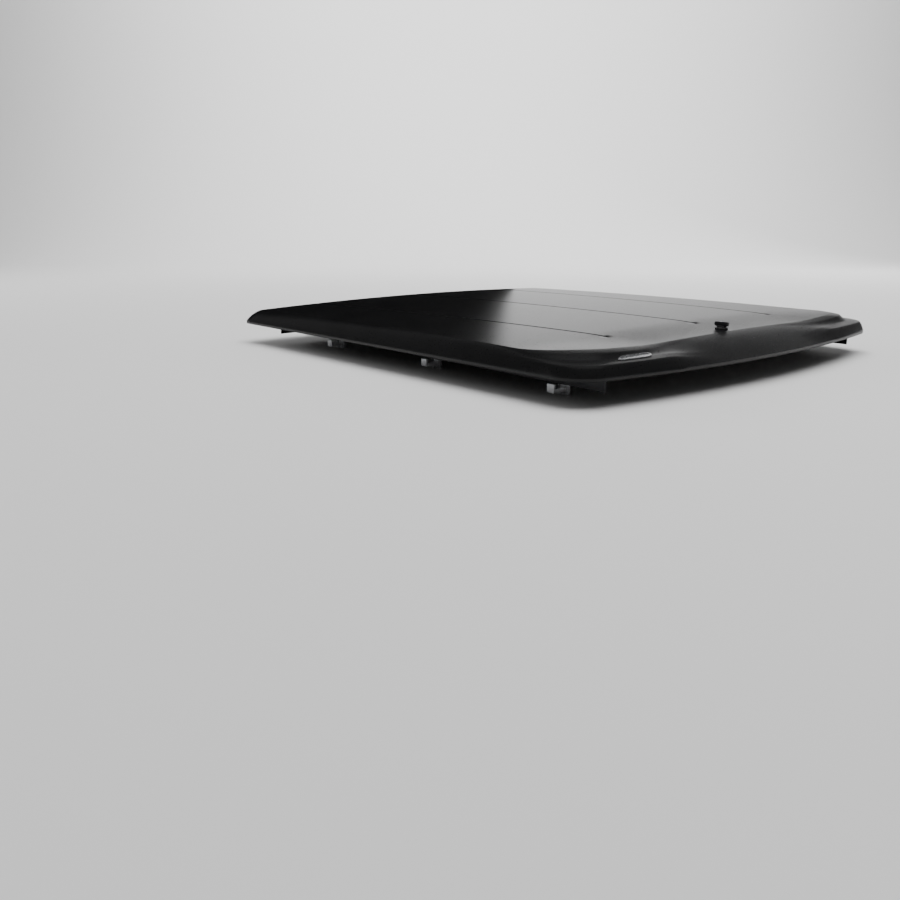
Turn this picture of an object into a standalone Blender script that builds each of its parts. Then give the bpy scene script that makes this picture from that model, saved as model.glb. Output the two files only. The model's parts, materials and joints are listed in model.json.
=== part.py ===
"""Hinged one-piece hard tonneau cover for a full-size pickup bed.

+X is the passenger side, +Y points at the cab, +Z is up. The origin is under the middle of the
cover, level with the feet of the bed clamps. All sizes are in metres.
"""
import math

import bmesh
import bpy
from mathutils import Matrix, Vector

# Driving dimensions of the lid
LENGTH = 2.03
FRONT_HALF_WIDTH = 0.963
REAR_HALF_WIDTH = 0.906
SKIRT_Z = 0.085
FRONT_Y = LENGTH / 2
REAR_Y = -LENGTH / 2
REAR_BOW = 0.097
SKIRT_CORNER = 0.105
SKIRT_LIP = 0.012
SHELL_THICKNESS = 0.0035
SIDE_POWER = 0.8

# Raised deck of the lid: parallel sides, one large corner, a gentle crown
DECK_HALF_WIDTH = 0.872
DECK_REAR_Y = -0.838
DECK_CORNER = 0.22
DECK_CREST_Y = -0.32
DECK_CREST_Z = 0.089
DECK_SIDE_DROP = 0.0225
DECK_FRONT_DROP = 0.0091
DECK_REAR_DROP = 0.0187
TAIL_START_Y = -0.60
TAIL_LENGTH = 0.24
TAIL_DROP = 0.012
TAIL_HALF_WIDTH = (0.40, 0.80)
CORNER_RISE = 0.007
CORNER_RISE_X = (0.45, 0.85)

# Ledge that wraps each rear corner between the cove and the skirt
LEDGE_Z = 0.0465
LEDGE_OUTER = 0.15
LEDGE_OUTER_END = 0.30
LEDGE_INNER = 0.47
LEDGE_RISE = 0.0045
SHOULDER_START = (0.90, 0.68)
SHOULDER_DROP = 0.007
SHOULDER_CURVE = 0.4
WALL_POWER = 1.6
LEDGE_REAR_X = (0.22, 0.62)
LEDGE_SIDE_Y = (-0.80, -0.42)

# Plain badge plate, placed by its share of the rear face
BADGE_COLUMN = 0.862
BADGE_HALF_COLUMN = 0.10
BADGE_FRACTION = 0.465
BADGE_HALF_FRACTION = 0.12
BADGE_CORNER = 0.13
BADGE_LIFT = 0.0020
BADGE_THICKNESS = 0.0015

# Lid lining
LINER_Z = 0.1217
LINER_THICKNESS = 0.0025
LINER_HALF_WIDTH = 0.838
LINER_FRONT_Y = 0.994
LINER_REAR_Y = -0.856
LINER_CORNER = 0.250

STIFFENER_X = 0.36
STIFFENER_HALF = 0.030
STIFFENER_HEIGHT = 0.022
STIFFENER_WALL = 0.0015
STIFFENER_Y = (-0.70, 0.95)
TRIM_REACH = 0.80
TRIM_Y = (0.975, 0.991)
TRIM_CLEARANCE = 0.0012

# Bed rails and front header, drawn on the plane of the truck's bed rails
BED_Z = 0.0935
FLANGE = 0.004
FLANGE_TOP = BED_Z + FLANGE
GAP = 0.0003
RAIL_X = 0.760
RAIL_WEB = 0.004
RAIL_WEB_LOW = 0.040
RAIL_OUTER_X = 0.855
RAIL_RIB_X = 0.793
RAIL_RIB = 0.003
RAIL_RIB_TOP = 0.108
RAIL_Y = (-0.900, 0.897)
HEADER_Y = (0.900, 0.992)
BRACKET_X = (0.802, 0.850)
BRACKET_Y = (0.850, 0.950)
BRACKET_THICKNESS = 0.003

# Bulb seals
SEAL_TOP = 0.1185
SEAL_RADIUS = 0.007
SEAL_X = 0.820
SEAL_Y = (-0.74, 0.845)
HEADER_SEAL_Y = 0.920
HEADER_SEAL_RADIUS = 0.006
HEADER_SEAL_REACH = 0.795
SEAL_REAR_Y = -0.840
SEAL_REAR_LOW = 0.0975
SEAL_REAR_REACH = 0.62

# Front hinges
HINGE_Y = 0.985
HINGE_Z = 0.1105
HINGE_X = 0.55
HINGE_HALF = 0.040
KNUCKLE_RADIUS = 0.006
KNUCKLE_HALF = 0.0145
KNUCKLE_GAP = 0.0008
HINGE_BASE_Y = (0.955, 0.990)
HINGE_LEAF_Y = (0.935, 0.984)
HINGE_WEB_HALF = 0.004
LEAF_WEB = (0.0055, 0.0012)
PIN_HEAD_RADIUS = 0.0055
PIN_HEAD_LENGTH = 0.012
PIN_RADIUS = 0.0030
PIN_BORE = 0.0033
LEAF_THICKNESS = 0.003

# Gas struts: the lower stud is on the rail, the upper stud is on the lid
STRUT_X = 0.702
STRUT_LOW = (0.885, 0.0455)
STRUT_HIGH = (0.385, 0.1025)
STUD_RADIUS = 0.0040
UPPER_STUD_RADIUS = 0.0035
TUBE_RADIUS = 0.0090
TUBE_BORE = 0.0048
TUBE_END = 0.330
TUBE_BORE_START = 0.110
ROD_RADIUS = 0.0040
ROD_START = 0.200
EYE_HALF_WIDTH = 0.005
LOWER_EYE = (0.0100, 0.0043)
UPPER_EYE = (0.0120, 0.0085)
MOUNT_Y = (0.862, 0.896)
MOUNT_Z = (0.042, 0.082)
MOUNT_THICKNESS = 0.006
STUD_REACH = 0.009
PLATE_X = (0.690, 0.722)
PLATE_HALF_LENGTH = 0.030
PLATE_THICKNESS = 0.003
LUG_X = 0.712
LUG_THICKNESS = 0.004
LUG_HALF_LENGTH = 0.012

# Rotary lock and the two latch rods; heights with a knob, bezel or plug are above the deck
LOCK_Y = -0.795
LOCK_HOLE = 0.009
BEZEL_RADIUS = 0.0225
BEZEL_Z = (0.0030, 0.0065)
KNOB_RADIUS = 0.017
KNOB_Z = (0.0069, 0.0085, 0.0120, 0.0265)
GRIP_HALF = (0.0078, 0.030)
PLUG_RADIUS = 0.0055
PLUG_Z = (0.0160, 0.0272)
KEY_SLOT = (0.0008, 0.0035, 0.0027)
SPINDLE_RADIUS = 0.0085
CRANK_RADIUS = 0.022
CRANK_PIN_RADIUS = 0.003
CAM_RADIUS = 0.030
CAM_Z = (0.1115, 0.1145)
ROD_Z = (0.1035, 0.1085)
ROD_HALF_WIDTH = 0.007
ROD_OFFSET_Y = 0.0188
ROD_TIP_X = 0.7555
ROD_HEAD_HALF = (0.010, 0.0115)
ROD_CLEARANCE = 0.0006
SLOT_HALF = (0.0040, 0.0085)
GUIDE_X = 0.700
GUIDE_HALF = (0.006, 0.016)
GUIDE_LOW = 0.0985
KEEPER_X = (0.766, 0.792)
KEEPER_TOP = 0.1150
KEEPER_WALL = 0.003
KEEPER_FLOOR = 0.002
KEEPER_MOUTH = 0.006
KEEPER_HALF_LENGTH = 0.016

# Bed clamps
CLAMP_Y = (-0.70, -0.05, 0.60)
CLAMP_BOLT_X = 0.747
CLAMP_BORE = 0.0043
BOLT_RADIUS = 0.0040
BOLT_HEAD_RADIUS = 0.0080
BOLT_Z = (0.0037, 0.0117, 0.0840)
CLAMP_LEG_X = (0.722, 0.732)
CLAMP_LAND_Z = (0.050, 0.090)
CLAMP_HALF_LENGTH = 0.020
JAW_X = (0.7325, 0.784, 0.792)
JAW_Z = (0.012, 0.024, 0.040)
JAW_HALF_LENGTH = 0.015

# Press lamp under the lid; depths are below the lining
LAMP_Y = -0.70
LAMP_RADIUS = 0.034
LAMP_DEPTH = 0.013
LAMP_BORE = 0.0285
LAMP_BACK = 0.004
LENS_Z = (0.0165, 0.0065)

SIDES = ((-1, "left"), (1, "right"))


def clear_scene():
    for item in list(bpy.data.objects):
        bpy.data.objects.remove(item, do_unlink=True)
    for group in list(bpy.data.collections):
        bpy.data.collections.remove(group)


def new_collection(name):
    group = bpy.data.collections.new(name)
    bpy.context.scene.collection.children.link(group)
    return group


def new_material(name, colour, roughness, metallic=0.0):
    material = bpy.data.materials.new(name)
    material.use_nodes = True
    shader = material.node_tree.nodes["Principled BSDF"]
    shader.inputs["Base Color"].default_value = (*colour, 1.0)
    shader.inputs["Roughness"].default_value = roughness
    shader.inputs["Metallic"].default_value = metallic
    return material


clear_scene()
PARTS = new_collection("tonneau_cover")
CUTTERS = new_collection("cutters")
LOOKS = {
    "abs": ((0.012, 0.012, 0.013), 0.42, 0.0),
    "liner": ((0.030, 0.030, 0.032), 0.70, 0.0),
    "aluminium": ((0.55, 0.56, 0.58), 0.35, 1.0),
    "black_steel": ((0.015, 0.015, 0.016), 0.38, 0.3),
    "steel": ((0.60, 0.60, 0.62), 0.28, 1.0),
    "rubber": ((0.010, 0.010, 0.010), 0.80, 0.0),
    "lamp": ((0.85, 0.86, 0.88), 0.25, 0.0),
    "plate": ((0.42, 0.43, 0.45), 0.30, 1.0),
}


def place(name, mesh, look, group=None):
    """Link a mesh as a part with its own material, smooth where the faces nearly agree."""
    item = bpy.data.objects.new(name, mesh)
    (group or PARTS).objects.link(item)
    colour, roughness, metallic = LOOKS[look]
    mesh.materials.clear()
    mesh.materials.append(new_material(name, colour, roughness, metallic))
    mesh.shade_smooth()
    mesh.set_sharp_from_angle(angle=math.radians(35))
    if group is CUTTERS:
        item.hide_render = True
        item.display_type = "WIRE"
    return item


def block(name, low, high, look="steel", group=None, bevel=0.0):
    """A box between two corners, with its origin at its centre."""
    mesh = bpy.data.meshes.new(name)
    shape = bmesh.new()
    bmesh.ops.create_cube(shape, size=1.0)
    size = [max(a, b) - min(a, b) for a, b in zip(low, high)]
    bmesh.ops.scale(shape, vec=size, verts=shape.verts)
    shape.to_mesh(mesh)
    shape.free()
    item = place(name, mesh, look, group)
    item.location = [(a + b) / 2 for a, b in zip(low, high)]
    if bevel:
        edge = item.modifiers.new("rounded edges", "BEVEL")
        edge.width = bevel
        edge.segments = 1
    return item


def cylinder(name, start, end, radius, look="steel", group=None, sides=20, taper=1.0):
    """A round or many-sided bar from one point to another, with its origin at the start."""
    start = Vector(start)
    along = Vector(end) - start
    mesh = bpy.data.meshes.new(name)
    shape = bmesh.new()
    bmesh.ops.create_cone(shape, cap_ends=True, segments=sides, radius1=radius,
                          radius2=radius * taper, depth=along.length)
    bmesh.ops.translate(shape, vec=(0, 0, along.length / 2), verts=shape.verts)
    shape.to_mesh(mesh)
    shape.free()
    item = place(name, mesh, look, group)
    item.rotation_euler = along.to_track_quat("Z", "Y").to_euler()
    item.location = start
    return item


def extrusion(name, outline, plane, span, look="aluminium"):
    """A flat outline pulled along the third axis: plane is XY, XZ or YZ."""
    curve = bpy.data.curves.new(name, "CURVE")
    curve.dimensions = "2D"
    curve.fill_mode = "BOTH"
    curve.extrude = (span[1] - span[0]) / 2
    spline = curve.splines.new("POLY")
    spline.points.add(len(outline) - 1)
    for point, (across, up) in zip(spline.points, outline):
        point.co = (across, up, 0, 1)
    spline.use_cyclic_u = True
    guide = bpy.data.objects.new(name + "_outline", curve)
    CUTTERS.objects.link(guide)
    turn = {
        "XY": Matrix.Identity(4),
        "XZ": Matrix.Rotation(math.pi / 2, 4, "X"),
        "YZ": Matrix.Rotation(math.pi / 2, 4, "Z") @ Matrix.Rotation(math.pi / 2, 4, "X"),
    }[plane]
    middle = (span[0] + span[1]) / 2
    axis = {"XY": (0, 0, 1), "XZ": (0, 1, 0), "YZ": (1, 0, 0)}[plane]
    bpy.context.view_layer.update()
    graph = bpy.context.evaluated_depsgraph_get()
    mesh = bpy.data.meshes.new_from_object(guide.evaluated_get(graph))
    bpy.data.objects.remove(guide, do_unlink=True)
    shape = bmesh.new()
    shape.from_mesh(mesh)
    bmesh.ops.remove_doubles(shape, verts=shape.verts, dist=0.00001)
    bmesh.ops.transform(shape, matrix=turn, verts=shape.verts)
    bmesh.ops.recalc_face_normals(shape, faces=shape.faces)
    shape.to_mesh(mesh)
    shape.free()
    item = place(name, mesh, look)
    item.location = Vector(axis) * middle
    return item


def combine(target, tool, operation):
    """Cut a tool from a part, or join it on; the tool is kept as a hidden guide."""
    step = target.modifiers.new(operation.lower() + " " + tool.name, "BOOLEAN")
    step.object = tool
    step.operation = operation
    step.solver = "EXACT"


def bore(target, start, end, radius, sides=20):
    tool = cylinder(target.name + "_bore", start, end, radius, group=CUTTERS, sides=sides)
    combine(target, tool, "DIFFERENCE")


def lerp(low, high, fraction):
    return low + (high - low) * fraction


def smooth(low, high, value):
    """0 below low, 1 above high, and an S-curve between them."""
    fraction = min(1.0, max(0.0, (value - low) / (high - low)))
    return fraction * fraction * (3 - 2 * fraction)


# Lid shell ------------------------------------------------------------------------------------

def deck_height(x, y):
    """Height of the crowned deck above the skirt's lower edge."""
    run = y - DECK_CREST_Y
    drop = DECK_FRONT_DROP if run > 0 else DECK_REAR_DROP
    rear = smooth(0, TAIL_LENGTH, TAIL_START_Y - y)
    tail = TAIL_DROP * rear * (1 - smooth(*TAIL_HALF_WIDTH, abs(x)))
    rise = CORNER_RISE * rear * smooth(*CORNER_RISE_X, abs(x))
    return DECK_CREST_Z - DECK_SIDE_DROP * x * x - drop * run * run - tail + rise


def rounded_plan(column, row, half_width, rear_y, corner):
    """Plan position of a grid node on a half rectangle with one round rear corner.

    column and row run from 0 to 1 over the straight stretch and from 1 to 2 round the corner.
    """
    across = max(0.0, column - 1)
    along = max(0.0, row - 1)
    x = min(column, 1) * (half_width - corner) + corner * across * math.sqrt(1 - along ** 2 / 2)
    straight = FRONT_Y - rear_y - corner
    y = FRONT_Y - min(row, 1) * straight - corner * along * math.sqrt(1 - across ** 2 / 2)
    return x, y


def deck_plan(column, row):
    return rounded_plan(column, row, DECK_HALF_WIDTH, DECK_REAR_Y, DECK_CORNER)


def skirt_plan(column, row):
    """The outer edge: it tapers towards the tailgate, and its rear end is bowed."""
    x, y = rounded_plan(column, row, REAR_HALF_WIDTH, REAR_Y, SKIRT_CORNER)
    y += REAR_BOW * (x / REAR_HALF_WIDTH) ** 2 * min(row, 1)
    half_width = lerp(REAR_HALF_WIDTH, FRONT_HALF_WIDTH, (y - REAR_Y) / LENGTH)
    return x * half_width / REAR_HALF_WIDTH, y


def ledge_limits(ledge):
    """Where the ledge starts and ends across the side: it narrows to nothing as it fades."""
    outer = lerp(LEDGE_OUTER_END, LEDGE_OUTER, ledge)
    return outer, lerp(LEDGE_OUTER_END + 0.02, LEDGE_INNER, ledge)


def side_height(fraction, top, ledge, rearward):
    """Height of the side from the skirt's edge (0) to the deck's edge (1)."""
    rounded = math.sin(fraction * math.pi / 2)
    full = rounded ** SIDE_POWER
    plain = SKIRT_LIP + (top - SKIRT_LIP) * lerp(full, (rounded + fraction) / 2, rearward)
    outer, inner = ledge_limits(ledge)
    shoulder = lerp(*SHOULDER_START, ledge)
    foot = LEDGE_Z + LEDGE_RISE
    if fraction < outer:
        turn = math.sin(fraction / outer * math.pi / 2)
        shelf = SKIRT_LIP + (LEDGE_Z - SKIRT_LIP) * turn
    elif fraction < inner:
        shelf = LEDGE_Z + LEDGE_RISE * (fraction - outer) / (inner - outer)
    elif fraction < shoulder:
        climb = ((fraction - inner) / (shoulder - inner)) ** WALL_POWER
        shelf = lerp(foot, top - SHOULDER_DROP, climb)
    else:
        fall = (1 - fraction) / (1 - shoulder)
        shelf = top - SHOULDER_DROP * lerp(fall, fall * fall, SHOULDER_CURVE)
    return lerp(plain, shelf, min(1, 2 * ledge))


def side_fractions(ledge):
    """Rows of the side, closer together where the section turns."""
    outer, inner = ledge_limits(ledge)
    shoulder = lerp(*SHOULDER_START, ledge)
    low = [0.0, outer * 0.4, outer, inner]
    return low + [lerp(inner, shoulder, 0.5), shoulder, lerp(shoulder, 1, 0.5)]


def ledge_strength(column, row):
    """1 round the rear corner, fading to 0 along the side and towards the middle of the rear."""
    x, y = deck_plan(column, row)
    return smooth(*LEDGE_REAR_X, x) * (1 - smooth(*LEDGE_SIDE_Y, y))


def side_point(column, row, fraction):
    """A point of the side band, from the skirt's edge (0) to the deck's edge (1)."""
    deck_x, deck_y = deck_plan(column, row)
    skirt_x, skirt_y = skirt_plan(column, row)
    rearward = smooth(1, 2, row) if column < 2 else 0.0
    top = deck_height(deck_x, deck_y)
    height = side_height(fraction, top, ledge_strength(column, row), rearward)
    x = lerp(skirt_x, deck_x, fraction)
    y = lerp(skirt_y, deck_y, fraction)
    return x, y, SKIRT_Z + height


def shell_station(column, row):
    """One strip of the side, from the lower edge of the skirt up to the deck's edge."""
    strip = [(*skirt_plan(column, row), SKIRT_Z)]
    for fraction in side_fractions(ledge_strength(column, row)):
        strip.append(side_point(column, row, fraction))
    return strip


def make_lid_shell():
    """Half of the outer skin as a deck grid and a side band, mirrored and thickened."""
    side_rows = [step / 14 for step in range(15)]
    corner_steps = [1 + step / 5 for step in range(1, 6)]
    rear_columns = [step / 8 for step in range(9)]
    rows = side_rows + corner_steps
    columns = rear_columns + corner_steps
    shape = bmesh.new()
    deck = []
    for row in rows:
        line = []
        for column in columns:
            x, y = deck_plan(column, row)
            line.append(shape.verts.new((x, y, SKIRT_Z + deck_height(x, y))))
        deck.append(line)
    for front, back in zip(deck, deck[1:]):
        for index in range(len(columns) - 1):
            shape.faces.new((front[index], back[index], back[index + 1], front[index + 1]))
    edge = [(2, row, line[-1]) for row, line in zip(rows, deck)]
    edge += [(column, 2, vert) for column, vert in zip(columns[-2::-1], deck[-1][-2::-1])]
    strips = []
    for column, row, top in edge:
        strip = [shape.verts.new(point) for point in shell_station(column, row)]
        strips.append(strip + [top])
    for near, far in zip(strips, strips[1:]):
        for index in range(len(near) - 1):
            shape.faces.new((near[index], near[index + 1], far[index + 1], far[index]))
    bmesh.ops.recalc_face_normals(shape, faces=shape.faces)
    middle = deck[5][3]
    middle.normal_update()
    if middle.normal.z < 0:
        bmesh.ops.reverse_faces(shape, faces=shape.faces)
    mesh = bpy.data.meshes.new("lid_shell")
    shape.to_mesh(mesh)
    shape.free()
    shell = place("lid_shell", mesh, "abs")
    mirror = shell.modifiers.new("other half", "MIRROR")
    mirror.merge_threshold = 0.0001
    skin = shell.modifiers.new("wall", "SOLIDIFY")
    skin.thickness = SHELL_THICKNESS
    skin.offset = -1
    skin.use_even_offset = True
    bore(shell, (0, LOCK_Y, 0.13), (0, LOCK_Y, 0.20), LOCK_HOLE)
    return shell


def corner_arc(centre_x, centre_y, radius, start, end, steps=6):
    """Points on an arc, with angles in degrees."""
    points = []
    for step in range(steps + 1):
        angle = math.radians(lerp(start, end, step / steps))
        points.append((centre_x + radius * math.cos(angle), centre_y + radius * math.sin(angle)))
    return points


def make_liner():
    reach = LINER_HALF_WIDTH - LINER_CORNER
    low = LINER_REAR_Y + LINER_CORNER
    outline = [(LINER_HALF_WIDTH, LINER_FRONT_Y), (-LINER_HALF_WIDTH, LINER_FRONT_Y)]
    outline += corner_arc(-reach, low, LINER_CORNER, 180, 270)
    outline += corner_arc(reach, low, LINER_CORNER, 270, 360)
    span = (LINER_Z, LINER_Z + LINER_THICKNESS)
    liner = extrusion("lid_liner", outline, "XY", span, "liner")
    bore(liner, (0, LOCK_Y, LINER_Z - 0.01), (0, LOCK_Y, LINER_Z + 0.02), LOCK_HOLE)
    return liner


def make_stiffeners():
    """Two hat-section channels bonded between the lining and the deck."""
    floor = LINER_Z + LINER_THICKNESS + GAP
    top = floor + STIFFENER_HEIGHT
    for side, name in SIDES:
        low = side * STIFFENER_X - STIFFENER_HALF
        high = side * STIFFENER_X + STIFFENER_HALF
        outline = [
            (low, floor), (low + STIFFENER_WALL, floor),
            (low + STIFFENER_WALL, top - STIFFENER_WALL),
            (high - STIFFENER_WALL, top - STIFFENER_WALL),
            (high - STIFFENER_WALL, floor), (high, floor), (high, top), (low, top),
        ]
        extrusion("stiffener_" + name, outline, "XZ", STIFFENER_Y, "aluminium")


def make_front_trim():
    """Moulding that closes the front of the lid; its top follows the deck."""
    low = LINER_Z + LINER_THICKNESS + GAP
    steps = 10
    outline = [(-TRIM_REACH, low), (TRIM_REACH, low)]
    for step in range(steps + 1):
        x = lerp(TRIM_REACH, -TRIM_REACH, step / steps)
        outline.append((x, SKIRT_Z + deck_height(x, FRONT_Y) - SHELL_THICKNESS - TRIM_CLEARANCE))
    extrusion("front_trim", outline, "XZ", TRIM_Y, "abs")


def make_tailgate_seal():
    """Bulb seal under the rear edge of the lining, behind the latch rods."""
    top = LINER_Z - GAP
    base = SEAL_RADIUS - 0.002
    outline = [(SEAL_REAR_Y + base, top), (SEAL_REAR_Y - base, top)]
    outline += corner_arc(SEAL_REAR_Y, SEAL_REAR_LOW + SEAL_RADIUS, SEAL_RADIUS, 180, 360, 8)
    extrusion("tailgate_seal", outline, "YZ", (-SEAL_REAR_REACH, SEAL_REAR_REACH), "rubber")


def make_badge():
    """Plain plate with rounded corners on the left of the rear face, bent to the surface behind it."""
    across, up = 8, 4
    shape = bmesh.new()
    lines = []
    for step in range(up + 1):
        tall = lerp(-1, 1, step / up)
        line = []
        for stride in range(across + 1):
            wide = lerp(-1, 1, stride / across)
            column = BADGE_COLUMN + BADGE_HALF_COLUMN * wide * (1 - BADGE_CORNER * tall ** 4)
            fraction = BADGE_FRACTION + BADGE_HALF_FRACTION * tall * (1 - BADGE_CORNER * wide ** 4)
            x, y, z = side_point(column, 2, fraction)
            line.append(shape.verts.new((-x, y, z)))
        lines.append(line)
    for low, high in zip(lines, lines[1:]):
        for index in range(across):
            shape.faces.new((low[index], high[index], high[index + 1], low[index + 1]))
    bmesh.ops.recalc_face_normals(shape, faces=shape.faces)
    face = next(iter(shape.faces))
    if face.normal.z < 0:
        bmesh.ops.reverse_faces(shape, faces=shape.faces)
    mesh = bpy.data.meshes.new("badge_plate")
    shape.to_mesh(mesh)
    shape.free()
    plate = place("badge_plate", mesh, "plate")
    lift = plate.modifiers.new("clear of the shell", "DISPLACE")
    lift.strength = BADGE_LIFT
    lift.mid_level = 0
    skin = plate.modifiers.new("thickness", "SOLIDIFY")
    skin.thickness = BADGE_THICKNESS
    skin.offset = 1


# Fixed frame ------------------------------------------------------------------------------------

def bulb_outline(centre, radius):
    """D-section bulb that stands on a rail's flange and meets the lid's lining."""
    low = FLANGE_TOP + GAP
    outline = [(centre - radius, low), (centre + radius, low)]
    return outline + corner_arc(centre, SEAL_TOP - radius, radius, 0, 180, 8)


def make_side_rails():
    for side, name in SIDES:
        outline = [
            (RAIL_X, RAIL_WEB_LOW), (RAIL_X + RAIL_WEB, RAIL_WEB_LOW), (RAIL_X + RAIL_WEB, BED_Z),
            (RAIL_OUTER_X, BED_Z), (RAIL_OUTER_X, FLANGE_TOP), (RAIL_RIB_X + RAIL_RIB, FLANGE_TOP),
            (RAIL_RIB_X + RAIL_RIB, RAIL_RIB_TOP), (RAIL_RIB_X, RAIL_RIB_TOP),
            (RAIL_RIB_X, FLANGE_TOP), (RAIL_X, FLANGE_TOP),
        ]
        outline = [(side * x, z) for x, z in outline]
        extrusion("side_rail_" + name, outline, "XZ", RAIL_Y, "aluminium")
        seal = [(side * x, z) for x, z in bulb_outline(SEAL_X, SEAL_RADIUS)]
        extrusion("rail_seal_" + name, seal, "XZ", SEAL_Y, "rubber")
        low = (side * BRACKET_X[0], BRACKET_Y[0], FLANGE_TOP + GAP)
        high = (side * BRACKET_X[1], BRACKET_Y[1], FLANGE_TOP + GAP + BRACKET_THICKNESS)
        block("corner_bracket_" + name, low, high, "black_steel", bevel=0.0008)


def make_header():
    back, front = HEADER_Y
    outline = [
        (back, RAIL_WEB_LOW), (back + RAIL_WEB, RAIL_WEB_LOW), (back + RAIL_WEB, BED_Z),
        (front, BED_Z), (front, FLANGE_TOP), (back, FLANGE_TOP),
    ]
    extrusion("header_rail", outline, "YZ", (-RAIL_OUTER_X, RAIL_OUTER_X), "aluminium")
    seal = bulb_outline(HEADER_SEAL_Y, HEADER_SEAL_RADIUS)
    extrusion("header_seal", seal, "YZ", (-HEADER_SEAL_REACH, HEADER_SEAL_REACH), "rubber")


def make_hinge(side, name):
    """Base on the header, leaf under the lid, and the pull-out pin between them."""
    x = side * HINGE_X
    floor = FLANGE_TOP + GAP
    top = LINER_Z - GAP
    base = block("hinge_base_" + name, (x - HINGE_HALF, HINGE_BASE_Y[0], floor),
                 (x + HINGE_HALF, HINGE_BASE_Y[1], floor + LEAF_THICKNESS), "black_steel")
    for number, edge in enumerate((-1, 1)):
        near = x + edge * (KNUCKLE_HALF + KNUCKLE_GAP)
        far = x + edge * HINGE_HALF
        web = block(f"hinge_web_{name}_{number}",
                    (min(near, far), HINGE_Y - HINGE_WEB_HALF, floor + 0.001),
                    (max(near, far), HINGE_Y + HINGE_WEB_HALF, HINGE_Z), group=CUTTERS)
        knuckle = cylinder(f"hinge_knuckle_{name}_{number}", (near, HINGE_Y, HINGE_Z),
                           (far, HINGE_Y, HINGE_Z), KNUCKLE_RADIUS, group=CUTTERS)
        combine(base, web, "UNION")
        combine(base, knuckle, "UNION")
    leaf = block("hinge_leaf_" + name, (x - HINGE_HALF, HINGE_LEAF_Y[0], top - LEAF_THICKNESS),
                 (x + HINGE_HALF, HINGE_LEAF_Y[1], top), "black_steel")
    web = block(f"leaf_web_{name}", (x - KNUCKLE_HALF, HINGE_Y - LEAF_WEB[0], HINGE_Z),
                (x + KNUCKLE_HALF, HINGE_Y - LEAF_WEB[1], top - 0.001), group=CUTTERS)
    knuckle = cylinder(f"leaf_knuckle_{name}", (x - KNUCKLE_HALF, HINGE_Y, HINGE_Z),
                       (x + KNUCKLE_HALF, HINGE_Y, HINGE_Z), KNUCKLE_RADIUS, group=CUTTERS)
    combine(leaf, web, "UNION")
    combine(leaf, knuckle, "UNION")
    reach = HINGE_HALF + 0.02
    for item in (base, leaf):
        bore(item, (x - reach, HINGE_Y, HINGE_Z), (x + reach, HINGE_Y, HINGE_Z), PIN_BORE)
    inside = x - side * (HINGE_HALF + 0.004)
    outside = x + side * (HINGE_HALF + 0.002)
    pin = cylinder("hinge_pin_" + name, (inside, HINGE_Y, HINGE_Z), (outside, HINGE_Y, HINGE_Z),
                   PIN_RADIUS, "steel", sides=16)
    head = cylinder(f"pin_head_{name}", (outside - side * 0.001, HINGE_Y, HINGE_Z),
                    (outside + side * PIN_HEAD_LENGTH, HINGE_Y, HINGE_Z), PIN_HEAD_RADIUS,
                    group=CUTTERS, sides=16)
    combine(pin, head, "UNION")


def make_keeper(side, name):
    """Hook on the side rail that the extended latch rod slides under."""
    low = FLANGE_TOP + GAP
    inner, outer = KEEPER_X
    outline = [
        (inner, low), (outer, low), (outer, KEEPER_TOP), (inner + KEEPER_MOUTH, KEEPER_TOP),
        (inner + KEEPER_MOUTH, KEEPER_TOP - KEEPER_WALL),
        (outer - KEEPER_WALL, KEEPER_TOP - KEEPER_WALL),
        (outer - KEEPER_WALL, low + KEEPER_FLOOR), (inner, low + KEEPER_FLOOR),
    ]
    outline = [(side * x, z) for x, z in outline]
    centre = LOCK_Y + side * ROD_OFFSET_Y
    span = (centre - KEEPER_HALF_LENGTH, centre + KEEPER_HALF_LENGTH)
    extrusion("latch_keeper_" + name, outline, "XZ", span, "black_steel")


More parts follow.
